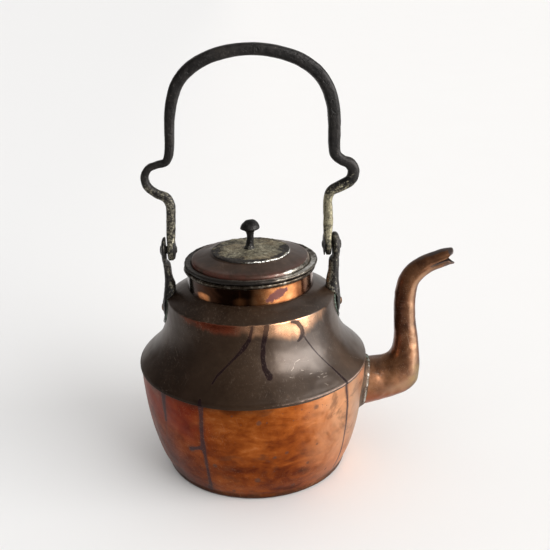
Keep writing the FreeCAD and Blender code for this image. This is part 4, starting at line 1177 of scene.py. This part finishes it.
# x, y, z, width, depth
SPOUT_DENTS = [
    (134, -16, 72, 7, -0.9), (124, -17, 66, 6, -0.6), (116, -19, 76, 8, -0.8),
    (138, -13, 96, 7, -0.6), (146, -10, 84, 3.0, -0.55), (146, -10, 78, 2.6, -0.5),
    (147, -10, 91, 2.6, -0.45), (145, -9, 97, 2.8, -0.45), (148, -9, 72, 3.0, -0.45),
    (143, -10, 104, 3.0, -0.4), (110, -20, 62, 3.0, -0.5), (114, -19, 60, 2.6, 0.45),
    (118, -18.5, 60, 2.6, -0.5), (122, -18, 60, 2.6, 0.45), (127, -17, 62, 3.0, -0.5),
    (129, -6, 128, 7, -0.5), (141, -8, 122, 5, -0.5), (129, -7, 152, 5, -0.4),
    (140, -8, 108, 6, -0.4), (141, -8, 146, 4, -0.35), (137, 16, 72, 8, -0.9),
    (146, 8, 96, 8, -0.7), (132, 9, 140, 7, -0.6), (150, 5, 82, 6, -0.6)]
# Stations: middle x and z, inner minus outer x and z, half width
stations = hermite([((ix + ox) / 2, (iz + oz) / 2, ix - ox, iz - oz, half)
                    for (ix, iz), (ox, oz), half in SPOUT], count=900)
length = np.concatenate(
    [[0], np.cumsum(np.linalg.norm(np.diff(stations[:, :2], axis=0), axis=1))])
start = np.interp(93.0, stations[:60, 0], length[:60])
tip = length[-1]

columns, rows = int(150 * DENSITY), int(250 * DENSITY)
theta = np.linspace(-math.pi, math.pi, columns, endpoint=False)
# how far the sheet runs back from the tip at each place round the mouth
back = np.interp(
    np.abs(np.degrees(theta)),
    [0, 30, 50, 62, 72, 80, 85, 88, 91, 94, 97, 100, 107, 118, 135, 155, 172, 180],
    [0.5, 0.7, 1.3, 2.3, 3.9, 5.6, 7.8, 13.0, 20.0, 21.0, 14.0, 8.4, 6.4, 5.2, 3.8, 2.2, 0.7,
     0.4])
back = back * np.where(theta < 0, 1.0, 0.86)     # the -Y side is opened a little further
u = 1 - (1 - np.linspace(0, 1, rows)) ** 1.18
along = start + u[:, None] * (tip - back - start)[None, :]
theta = np.repeat(theta[None, :], rows, 0)
deg = np.degrees(theta)
side_deg = np.abs(deg)


def spout_points(grow):
    """The spout skin grown outwards by grow."""
    x, z, dx, dz, half = [np.interp(along, length, stations[:, k]) for k in range(5)]
    depth = np.hypot(dx, dz) / 2
    across = (depth + grow) * squared(np.cos(theta), 2 / 2.15)
    y = (half + grow) * squared(np.sin(theta), 2 / 2.15)
    return np.stack([x + dx / (2 * depth) * across, y, z + dz / (2 * depth) * across], -1)


base = spout_points(0)
move = (0.42 * fbm(base, 17, 2, 31) + 0.22 * fbm(base, 6.5, 2, 32)) * smooth(
    100, 112, base[..., 0])
for *centre, width, depth in SPOUT_DENTS:
    move = move + depth * np.exp(-((base - centre) ** 2).sum(-1) / (width * width))
# the fold that runs back from the mouth on both cheeks, and the hood over it
fold = np.exp(-(((side_deg - 100) / 10) ** 2)) * smooth(tip - 30, tip - 18, along)
above = np.exp(-(((side_deg - 80) / 9) ** 2)) * smooth(tip - 32, tip - 18, along)
hood = smooth(78, 52, side_deg) * smooth(tip - 16, tip - 4, along)
move = move - 0.95 * fold + 0.75 * above + 0.35 * hood
outside = spout_points(move)
inside = spout_points(move - (1.25 + 1.5 * hood))
# rounded lip: two rows between the skins, pushed out past the edge
forward = outside[-1] - outside[-4]
forward /= np.linalg.norm(forward, axis=1, keepdims=True)
bulge = forward * (0.35 + 0.7 * hood[-1])[:, None]
lip_rows = [(outside[-1] * share + inside[-1] * (1 - share) + bulge)[None]
            for share in (0.72, 0.28)]
pts = np.concatenate([outside, *lip_rows, inside[::-1]], 0)


def both_skins(mask, lip_factor, inner_factor):
    """An outer-skin mask carried over the two lip rows and the inner skin."""
    lip_row = mask[-1:] * lip_factor
    return np.concatenate([mask, lip_row, lip_row, inner_factor], 0)


# dark at the mouth edge and along the top near it; the fold and the inner skin are painted shade
lip = smooth(tip - 7, tip - 1.5, along) * smooth(110, 60, side_deg)
for mask in (0.8 * fold,
             0.58 * smooth(tip - 18, tip - 10, along) * smooth(92, 104, side_deg),
             0.66 * smooth(tip - 60, tip - 14, along) * smooth(46, 22, side_deg)):
    lip = np.maximum(lip, mask)
# painted highlight along the crest: its place round the section and its strength along the spout
crest = np.interp(along, [0, start, start + 30, start + 55, start + 80, tip - 60, tip - 25, tip],
                  [110, 110, 112, 120, 122, 118, 116, 112])
crest_highlight = (np.exp(-((side_deg - crest) / 19.0) ** 2) * np.where(deg < 0, 1.0, 0.7)
         * np.interp(along, [start, start + 12, start + 40, tip - 30, tip - 6],
                     [0.3, 0.5, 1.0, 0.8, 0.3]))
# painted shade on the outer side
outer = smooth(126, 156, side_deg)
none = np.zeros_like(lip)
build("kettle_spout", ring_mesh(pts), "root", [M_SPOUT], ("spout_tube",),
      {"lip": both_skins(lip, 1, none + 1), "crest_highlight": both_skins(crest_highlight, 0, none),
       "outer": both_skins(outer, 1, none)})

# ---------------------------------------------------------------- spout root joint
# growth past the spout, lift off the wall, solder
ROOT = [(-2.5, -0.6, 0), (7.6, -0.6, 0.1), (8.0, 0.1, 0.3), (7.6, 0.75, 0.55), (6.6, 1.05, 0.35),
        (5.4, 1.15, 0.30), (4.6, 1.35, 0.30), (3.9, 1.8, 0.40), (3.1, 2.4, 0.60),
        (2.3, 3.2, 0.90), (1.8, 4.0, 1.0), (1.4, 4.7, 1.0), (0.95, 5.4, 0.85), (0.3, 6.0, 0.5),
        (-0.9, 6.1, 0.0), (-2.5, 4.2, 0.0)]
ROOT_ROWS = 46
turn = full_turn(int(220 * DENSITY))
circle = ring_points(turn, 24)
wobble = 0.9 * fbm(circle, 11, 3, 33) + 0.4 * fbm(circle, 4, 2, 34)
rings = []
for grow, lift, _ in ROOT:
    free = 1.0 if grow > 1.5 else max(0.0, (grow + 0.5) / 2.0)
    wide = grow + wobble * free * (0.8 if grow < 6 else 0.55)
    y = (20.8 + wide) * np.cos(turn)
    z = 66.6 + (21.4 + wide) * np.sin(turn)
    wall_radius = np.interp(z, [p[1] for p in WALL], [p[0] for p in WALL])
    grain = 0.35 * fbm(np.stack([y, z, y * 0 + grow * 3], -1), 5, 3, 35) * (lift > 0.5)
    x = np.sqrt(np.maximum(wall_radius ** 2 - y ** 2, 1)) + lift + grain
    rings.append(np.stack([x, y, z], -1))
rings = np.stack(rings)
solder = np.repeat(np.array([row[2] for row in ROOT], float)[:, None], len(turn), 1)
# finer rows between the given ones
place = np.linspace(0, len(ROOT) - 1, ROOT_ROWS)
row = np.clip(place.astype(int), 0, len(ROOT) - 2)
part = (place - row)[:, None]
pts = rings[row] * (1 - part[..., None]) + rings[row + 1] * part[..., None]
solder = solder[row] * (1 - part) + solder[row + 1] * part
bead = np.exp(-((solder - 0.95) / 0.25) ** 2)
pts[..., 0] += bead * (0.45 * fbm(pts, 3.2, 3, 36) + 0.25)
build("spout_root_joint", ring_mesh(pts), "root", [M_ROOT], ("spout_root_flange",),
      {"solder": solder})

# ---------------------------------------------------------------- bail handle
# x, z, half thickness in the XZ plane, half width in Y
BAIL = [
    (-67.0, 189.2, 0.9, 1.0), (-67.0, 189.8, 2.0, 3.4), (-66.9, 191.4, 2.6, 6.0),
    (-66.8, 194.2, 2.9, 8.2), (-66.7, 198.5, 3.0, 9.3), (-66.6, 202.6, 3.1, 8.3),
    (-66.4, 206.2, 3.4, 6.2), (-66.2, 210.5, 3.8, 4.7), (-65.8, 216.0, 4.0, 4.2),
    (-65.3, 223.5, 4.1, 4.1), (-64.8, 231.5, 4.0, 4.1), (-65.0, 238.3, 4.1, 4.1),
    (-67.9, 244.3, 4.1, 4.0), (-75.9, 248.5, 3.6, 3.9), (-82.9, 254.9, 3.6, 3.9),
    (-84.4, 263.0, 3.4, 3.8), (-80.5, 269.9, 3.1, 3.9), (-73.5, 272.6, 3.0, 4.0),
    (-66.3, 274.7, 3.3, 4.1), (-63.2, 281.3, 3.7, 4.4), (-62.0, 290.0, 3.8, 4.6),
    (-61.5, 300.0, 4.0, 4.8), (-60.1, 314.4, 4.5, 5.1), (-57.3, 326.9, 4.8, 5.4),
    (-52.3, 338.7, 5.0, 5.6), (-42.8, 349.0, 5.3, 5.8), (-30.0, 356.6, 5.2, 5.9),
    (-14.0, 361.5, 5.0, 5.9), (5.0, 363.4, 4.9, 5.9), (22.4, 361.7, 5.0, 5.9),
    (36.7, 357.8, 5.3, 5.8), (48.2, 352.7, 5.3, 5.8), (59.8, 343.7, 5.4, 5.7),
    (67.5, 332.3, 5.4, 5.6), (71.7, 319.4, 5.3, 5.4), (73.2, 306.1, 5.2, 5.1),
    (73.2, 294.0, 5.1, 4.8), (73.1, 284.5, 4.9, 4.6), (74.4, 276.5, 4.7, 4.5),
    (80.0, 271.4, 4.3, 4.4), (85.9, 268.5, 4.8, 4.3), (89.3, 262.4, 4.9, 4.2),
    (86.9, 254.5, 4.8, 4.1), (78.3, 249.5, 4.7, 4.1), (70.3, 245.3, 4.0, 4.0),
    (67.7, 238.0, 3.9, 4.0), (67.7, 229.5, 4.1, 4.0), (67.9, 219.0, 4.2, 4.2),
    (67.6, 210.5, 3.8, 4.7), (67.5, 206.2, 3.4, 6.2), (67.5, 202.6, 2.9, 8.3),
    (67.6, 198.5, 2.8, 9.3), (67.7, 194.2, 2.6, 8.2), (67.8, 191.4, 2.4, 6.0),
    (67.8, 189.8, 1.9, 3.4), (67.8, 189.2, 0.9, 1.0)]
rows = hermite(BAIL, step=0.85 / DENSITY)
path_z = rows[:, 1]
turn = full_turn(int(56 * DENSITY))[None, :]
forward = np.gradient(rows[:, :2], axis=0)
forward /= np.linalg.norm(forward, axis=1, keepdims=True)
# the flat eyes keep their thickness along X
eye = path_z < 212
normal_x = np.where(eye, np.sign(forward[:, 1]), forward[:, 1])[:, None]
normal_z = np.where(eye, 0.0, -forward[:, 0])[:, None]
power = 2 / np.interp(path_z, [188, 205, 216, 275, 290, 360], [4.5, 4.0, 2.5, 2.6, 3.1, 3.3])
across, wide = squared(np.cos(turn), power[:, None]), squared(np.sin(turn), power[:, None])
distance = np.concatenate([[0], np.cumsum(np.linalg.norm(np.diff(rows[:, :2], axis=0), axis=1))])
live = smooth(208, 216, path_z)


def bail_noise(shift, size, octaves, seed):
    return fbm(np.stack([distance, distance * 0 + shift, distance * 0], -1), size, octaves, seed)


# slow hammering in the two widths, and a little twist
first = (rows[:, 2] * (1 + 0.05 * bail_noise(0, 16, 3, 41) * live))[:, None] * across
second = (rows[:, 3] * (1 + 0.05 * bail_noise(50, 19, 3, 42) * live))[:, None] * wide
twist = (np.radians(9.0) * bail_noise(90, 60, 2, 43) * live)[:, None]
first, second = (first * np.cos(twist) - second * np.sin(twist),
                 first * np.sin(twist) + second * np.cos(twist))
pts = np.stack([rows[:, :1] + normal_x * first, second, rows[:, 1:2] + normal_z * first], -1)
outward = np.stack([normal_x * across, wide, normal_z * across], -1)
outward /= np.maximum(np.linalg.norm(outward, axis=-1, keepdims=True), 1e-6)
level = np.interp(path_z, [188, 235, 262, 300, 365], [1.15, 1.2, 1.0, 0.75, 0.7])[:, None]
pitting = (0.22 * fbm(pts, 7, 2, 44) + 0.15 * fbm(pts, 2.6, 3, 45)
           - 0.22 * np.maximum(0, fbm(pts, 1.9, 2, 46) - 0.25))
pts = pts + outward * (pitting * level * (0.35 + 0.65 * live[:, None]))[..., None]
right = np.sign(rows[:, 0])[:, None] >= 0
z = pts[..., 2]
tin = np.where(right,
               np.interp(z, [188, 198, 208, 220, 238, 247, 256, 270, 300],
                         [0.34, 0.42, 0.60, 0.76, 0.78, 0.46, 0.20, 0.04, 0.0]),
               np.interp(z, [188, 215, 238, 252, 262, 275, 300],
                         [0.55, 0.52, 0.46, 0.40, 0.16, 0.05, 0.0]))
# the -Y face keeps more of it
tin = tin * np.interp(pts[..., 1], [-4, 0, 4], [1.0, 0.9, 0.75])
tin = tin + 0.05 * smooth(0.15, 0.6, fbm(pts, 22, 2, 47)) * (z > 262)
warm = np.where(right, 1.0, 0.35) * np.ones_like(z)
build("bail_forged", capped_mesh(pts), "handle", [M_BAIL], ("handle_bail",),
      {"tin": np.append(tin, [0.4, 0.6]), "warm": np.append(warm, [0, 1])})


# ---------------------------------------------------------------- brackets
def bracket(name, side, rows, nodes, turn, seed):
    """side is the sign of X; turn twists the stem in degrees."""
    flank_r = np.array([p[0] for p in FLANK]) + 0.9
    flank_z = np.array([p[1] for p in FLANK])
    # columns: height, outer x, inner x, half width
    full = [(z, outer, np.interp(z, flank_z, flank_r) if inner is None else inner, half)
            for z, inner, outer, half in rows]
    z, outer_x, inner_x, half = hermite(full, step=0.55 / DENSITY).T
    half = np.maximum(half, 0.35)
    palm = smooth(160.0, 154.0, z)[:, None]
    count = int(64 * DENSITY)
    round_turn = full_turn(count)[None, :]
    across = squared(np.cos(round_turn), 2 / 3.0)
    wide = squared(np.sin(round_turn), 2 / 2.4)
    y = half[:, None] * wide
    body = np.interp(z, flank_z, flank_r)[:, None]
    curve = body - np.sqrt(np.maximum(body ** 2 - y ** 2, 1))
    inner = inner_x[:, None] - curve * palm
    outer = (outer_x[:, None] - curve * 0.75 * palm
             - 0.9 * (np.abs(wide) ** 3) * (z[:, None] > 186))
    outer = np.maximum(outer - 1.1 * palm * np.abs(wide) ** 2.5, inner + 0.5)
    x = (inner + outer) / 2 + (outer - inner) / 2 * across
    pts = np.stack([x, y, np.repeat(z[:, None], count, 1)], -1)
    twist = (smooth(158, 170, z) * smooth(189, 185, z))[:, None] * math.radians(turn)
    centre = ((inner_x + outer_x) / 2)[:, None]
    dx, dy = x - centre, y
    pts[..., 0] = side * (centre + dx * np.cos(twist) - dy * np.sin(twist))
    pts[..., 1] = dx * np.sin(twist) + dy * np.cos(twist)
    outward = pts - np.stack([side * centre[:, 0], z * 0, z], -1)[:, None, :]
    outward[..., 2] = 0
    outward /= np.maximum(np.linalg.norm(outward, axis=-1, keepdims=True), 1e-6)
    inner_face = smooth(71.6, 71.1, np.abs(pts[..., 0])) * smooth(187, 190, pts[..., 2])
    pitting = 0.26 * fbm(pts, 7, 2, seed) + 0.14 * fbm(pts, 2.4, 3, seed + 1)
    pts = pts + outward * (pitting * (1 - inner_face))[..., None]
    inward = smooth(0.25, -0.5, across) * smooth(188, 180, z)[:, None]
    tin = ((0.34 if side > 0 else 0.20) * inward + 0.20 * smooth(140, 186, z)[:, None]
           + 0.16 * smooth(2, 5, np.abs(y))) * (1.0 if side > 0 else 0.9)
    build(name, capped_mesh(pts), "root", [M_FORGED], nodes,
          {"tin": np.append(tin, [0, 0]), "warm": np.append(np.full(tin.shape, 0.2), [0, 0])})


# height, inner x (None where the palm lies on the flank), outer x, half width
bracket("bracket_spout_side", 1, [
    (132.9, None, 74.9, 0.4), (133.5, None, 75.3, 3.0), (135.4, None, 76.3, 6.2),
    (138.6, None, 77.2, 9.4), (142.0, None, 77.8, 12.2), (146.5, None, 78.2, 13.6),
    (151.0, None, 78.3, 12.8), (155.0, None, 78.0, 10.6), (158.8, 66.6, 77.6, 8.6),
    (162.5, 65.8, 77.3, 7.2), (166.5, 65.9, 77.1, 6.3), (171.0, 66.8, 77.0, 5.8),
    (176.0, 68.0, 77.0, 5.6), (182.0, 68.2, 77.2, 5.7), (186.2, 68.9, 77.3, 6.2),
    (188.0, 71.0, 77.4, 6.9), (190.0, 71.2, 77.6, 8.2), (194.5, 71.2, 78.0, 9.8),
    (198.5, 71.2, 78.2, 10.3), (202.5, 71.2, 78.0, 9.5), (206.0, 71.3, 77.0, 7.2),
    (208.3, 71.7, 75.8, 4.2), (209.3, 72.3, 74.6, 1.4)],
    ("handle_bracket_front",), turn=-13, seed=51)
bracket("bracket_rear_side", -1, [
    (132.3, None, 74.6, 0.4), (132.9, None, 75.0, 3.0), (134.8, None, 75.6, 6.0),
    (138.4, None, 76.2, 9.2), (142.0, None, 76.7, 11.8), (146.5, None, 77.3, 13.2),
    (151.0, None, 77.2, 12.4), (155.0, None, 76.4, 10.4), (158.8, 66.4, 75.6, 8.4),
    (162.5, 65.2, 75.0, 7.0), (166.5, 65.2, 74.5, 6.2), (171.0, 66.2, 74.1, 5.7),
    (176.0, 67.5, 73.9, 5.5), (182.0, 68.1, 74.0, 5.5), (186.2, 68.7, 74.3, 6.0),
    (188.0, 70.9, 74.6, 6.8), (190.0, 71.1, 74.9, 8.0), (194.5, 71.1, 75.2, 9.6),
    (198.5, 71.1, 75.4, 10.1), (202.5, 71.1, 75.2, 9.4), (206.0, 71.1, 74.6, 7.2),
    (208.6, 71.1, 73.6, 4.4), (209.8, 71.2, 72.6, 1.4)],
    ("handle_bracket_rear",), turn=4, seed=61)


# ---------------------------------------------------------------- pins, washers, rivets
def turned_x(name, side, path, z, node, mat, seed, rough, count, tin):
    """A piece turned about the X direction at height z; path is (x, radius), ends closed."""
    turn = full_turn(int(count * DENSITY))
    x = np.repeat(path[:, :1], len(turn), 1)
    radius = np.repeat(path[:, 1:], len(turn), 1)
    pts = np.stack([side * x, radius * np.cos(turn), z + radius * np.sin(turn)], -1)
    normal = normals_of(path)
    move = (rough * (fbm(pts, 3.5, 3, seed) + 0.5 * fbm(pts, 1.4, 2, seed + 1))
            * smooth(0.4, 2.0, radius))
    pts[..., 0] += side * normal[:, :1] * move
    pts[..., 1] += normal[:, 1:] * move * np.cos(turn)
    pts[..., 2] += normal[:, 1:] * move * np.sin(turn)
    build(name, capped_mesh(pts), "root", [mat], (node,), {"tin": tin, "warm": 0.1})


HEAD = 3.9      # radius of the pin heads
# side, name ending, node ending, pin's inner x, bracket ear's outer x, washer z, rivet x
for side, end, tag, pin_x, ear, washer_z, rivet_x in (
        (1, "spout_side", "front", 63.2, 77.95, PIN_Z, 77.9),
        (-1, "rear_side", "rear", 62.6, 75.2, PIN_Z + 0.9, 76.5)):
    pin = chain([(pin_x - 0.9, 0.3), (pin_x - 0.8, 1.8), (pin_x - 0.3, 3.1), (pin_x + 0.5, 3.6),
                 (pin_x + 1.2, 3.45)], straight((pin_x + 1.6, 3.4), (ear - 0.6, 3.4), 10),
                [(ear - 0.3, HEAD), (ear + 0.2, HEAD + 0.1)],
                hermite([(ear + 0.35, HEAD), (ear + 0.8, HEAD * 0.82), (ear + 1.05, HEAD * 0.5),
                         (ear + 1.15, 0.3)], step=0.3))
    turned_x("pivot_pin_" + end, side, pin, PIN_Z, "pivot_pin_" + tag, M_FORGED,
             seed=71 + side, rough=0.12, count=56, tin=0.06)
    face = pin_x + 0.1
    washer = chain([(64.6, 0.4), (64.6, 4.0), (64.6, 8.0)],
                   hermite([(64.55, 8.9), (64.3, 9.25), (63.95, 9.1),
                            ((face + 63.9) / 2 + 0.1, 7.6), (face + 0.25, 5.4),
                            (face + 0.03, 3.4), (face, 0.4)], step=0.3))
    turned_x("pivot_washer_" + end, side, washer, washer_z, "pivot_washer_" + tag, M_FORGED,
             seed=81 + side, rough=0.14, count=72, tin=0.12)
    rivet = chain([(69.4, 0.3), (69.4, 2.6), (69.7, 3.4), (70.6, 3.5), (70.9, 2.3)],
                  straight((71.0, 2.2), (rivet_x - 0.6, 2.2), 6),
                  [(rivet_x - 0.3, 3.3), (rivet_x + 0.2, 3.6)],
                  hermite([(rivet_x + 0.4, 3.6), (rivet_x + 1.1, 3.2), (rivet_x + 1.8, 2.1),
                           (rivet_x + 2.1, 0.3)], step=0.3))
    turned_x("bracket_rivet_" + end, side, rivet, RIVET_Z, "bracket_rivet_" + tag, M_RIVET,
             seed=91 + side, rough=0.16, count=44, tin=0.1)

# CAD pieces that keep their shape
for node, mat in (("base_plate", M_FOOT), ("bracket_pad_front", M_VERDIGRIS),
                  ("bracket_pad_rear", M_VERDIGRIS), ("rivet_rove_front", M_INNER),
                  ("rivet_rove_rear", M_INNER), ("lid_sleeve", M_INNER), ("knob_rove", M_INNER)):
    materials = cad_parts[node].data.materials
    materials.clear()
    materials.append(mat)


# ---------------------------------------------------------------- floor
def floor_paper():
    mat, noise, mix, paint = material("floor_paper")
    x, y, z = mat.axes()
    mat.color = mix(noise(60, 3, 0.5, 301), (0.850, 0.846, 0.842), (0.862, 0.858, 0.855))
    # painted shade: darker and cooler towards -X, away from the window
    paint(x.step(0.15, -0.45), (0.800, 0.802, 0.806))
    # in reflections the sheet ends a short way in front
    glossy = mat.node("LightPath", {}, "Is Glossy Ray")
    paint((y + x * 0.22).step(-0.24, -0.34) * glossy, (0.055, 0.050, 0.048))
    return mat.finish(metallic=0.0, rough=glossy.lerp(0.9, 0.32),
                      Specular_IOR_Level=glossy.lerp(0.1, 1.0))


FLOOR = [(-14, -4, -0.0004), (14, -4, -0.0004), (14, 24, -0.0004), (-14, 24, -0.0004)]  # metres
floor_mat = floor_paper()
floor_mesh = bpy.data.meshes.new("floor")
floor_mesh.from_pydata(FLOOR, [], [(0, 1, 2, 3)])
floor_mesh.materials.append(floor_mat)
floor = bpy.data.objects.new("floor", floor_mesh)
SCENE.collection.objects.link(floor)


# ---------------------------------------------------------------- world
def room():
    """A room with one broad low window towards +X and -Y, and a dim -X side."""
    world = bpy.data.worlds.new("room")
    SCENE.world = world
    sky = Shader(world, "Generated")
    x, y, z = sky.axes()
    bearing = sky.math("ARCTAN2", y, x) * (180 / math.pi)
    climb = sky.math("ARCSINE", z) * (180 / math.pi)
    # edges of the window in degrees
    window = (bearing.step(-66, -52) * bearing.step(6, -8)
              * (climb.step(-1, 6) * climb.step(42, 30)))
    # what glossy metal sees: dim walls by direction, with a lighter ceiling towards +X
    walls = y.step(-0.35, 0.55).lerp(x.step(0.55, -0.55).lerp(0.45, 0.11),
                                     x.step(0.5, -0.8).lerp(0.62, 0.18))
    walls = (walls * z.step(0.55, 0.95).lerp(1.0, 0.42)
             + z.step(0.60, 0.97) * (x.step(0.0, 0.6) * 1.0))
    soft = x.step(-1.0, 0.6) * 0.18 + 0.72
    glossy = sky.node("LightPath", {}, "Is Glossy Ray")
    # window strength: 5.6 for soft light, 9.5 in reflections; plain 0.90 backdrop
    light = glossy.lerp(soft + window * 5.6, walls + window * 9.5)
    light = glossy.beside("Is Camera Ray").lerp(light, 0.90)
    color = sky.mix(window, (1.0, 0.985, 0.97), (1.0, 0.995, 0.985))
    sky.output("OutputWorld", sky.node("Background", {"Color": color, "Strength": light}))


room()

# ---------------------------------------------------------------- camera
LENS = 55.570909                       # focal length on a 36 mm sensor
LOOK_DOWN = math.radians(22.151)
ROLL = math.radians(2.191)
YAW = math.radians(-1.663742)          # turns the aim point off the middle of the frame
PITCH = math.radians(-1.570011)
DISTANCE, AIM_Z = 745.7, 150.0         # distance from the point at height AIM_Z on the axis

sin, cos = math.sin, math.cos
# rows: right, up and forward of the camera before the small turns
level_view = np.array([[1, 0, 0], [0, sin(LOOK_DOWN), cos(LOOK_DOWN)],
                       [0, cos(LOOK_DOWN), -sin(LOOK_DOWN)]])
yaw = np.array([[cos(YAW), 0, sin(YAW)], [0, 1, 0], [-sin(YAW), 0, cos(YAW)]])
pitch = np.array([[1, 0, 0], [0, cos(PITCH), sin(PITCH)], [0, -sin(PITCH), cos(PITCH)]])
roll = np.array([[cos(ROLL), -sin(ROLL), 0], [sin(ROLL), cos(ROLL), 0], [0, 0, 1]])
right, up, forward = roll @ pitch @ yaw @ level_view
pose = np.eye(4)
pose[:3, :3] = np.stack([right, up, -forward], 1)
pose[:3, 3] = (np.array([0, 0, AIM_Z]) - level_view.T @ np.array([0, 0, DISTANCE])) * MM
lens = bpy.data.cameras.new("camera")
lens.sensor_width = 36.0
lens.lens = LENS
lens.clip_end = 100
camera = bpy.data.objects.new("camera", lens)
camera.matrix_world = Matrix(pose.tolist())
SCENE.collection.objects.link(camera)
SCENE.camera = camera
SCENE.view_settings.view_transform = "Standard"
SCENE.view_settings.look = "None"
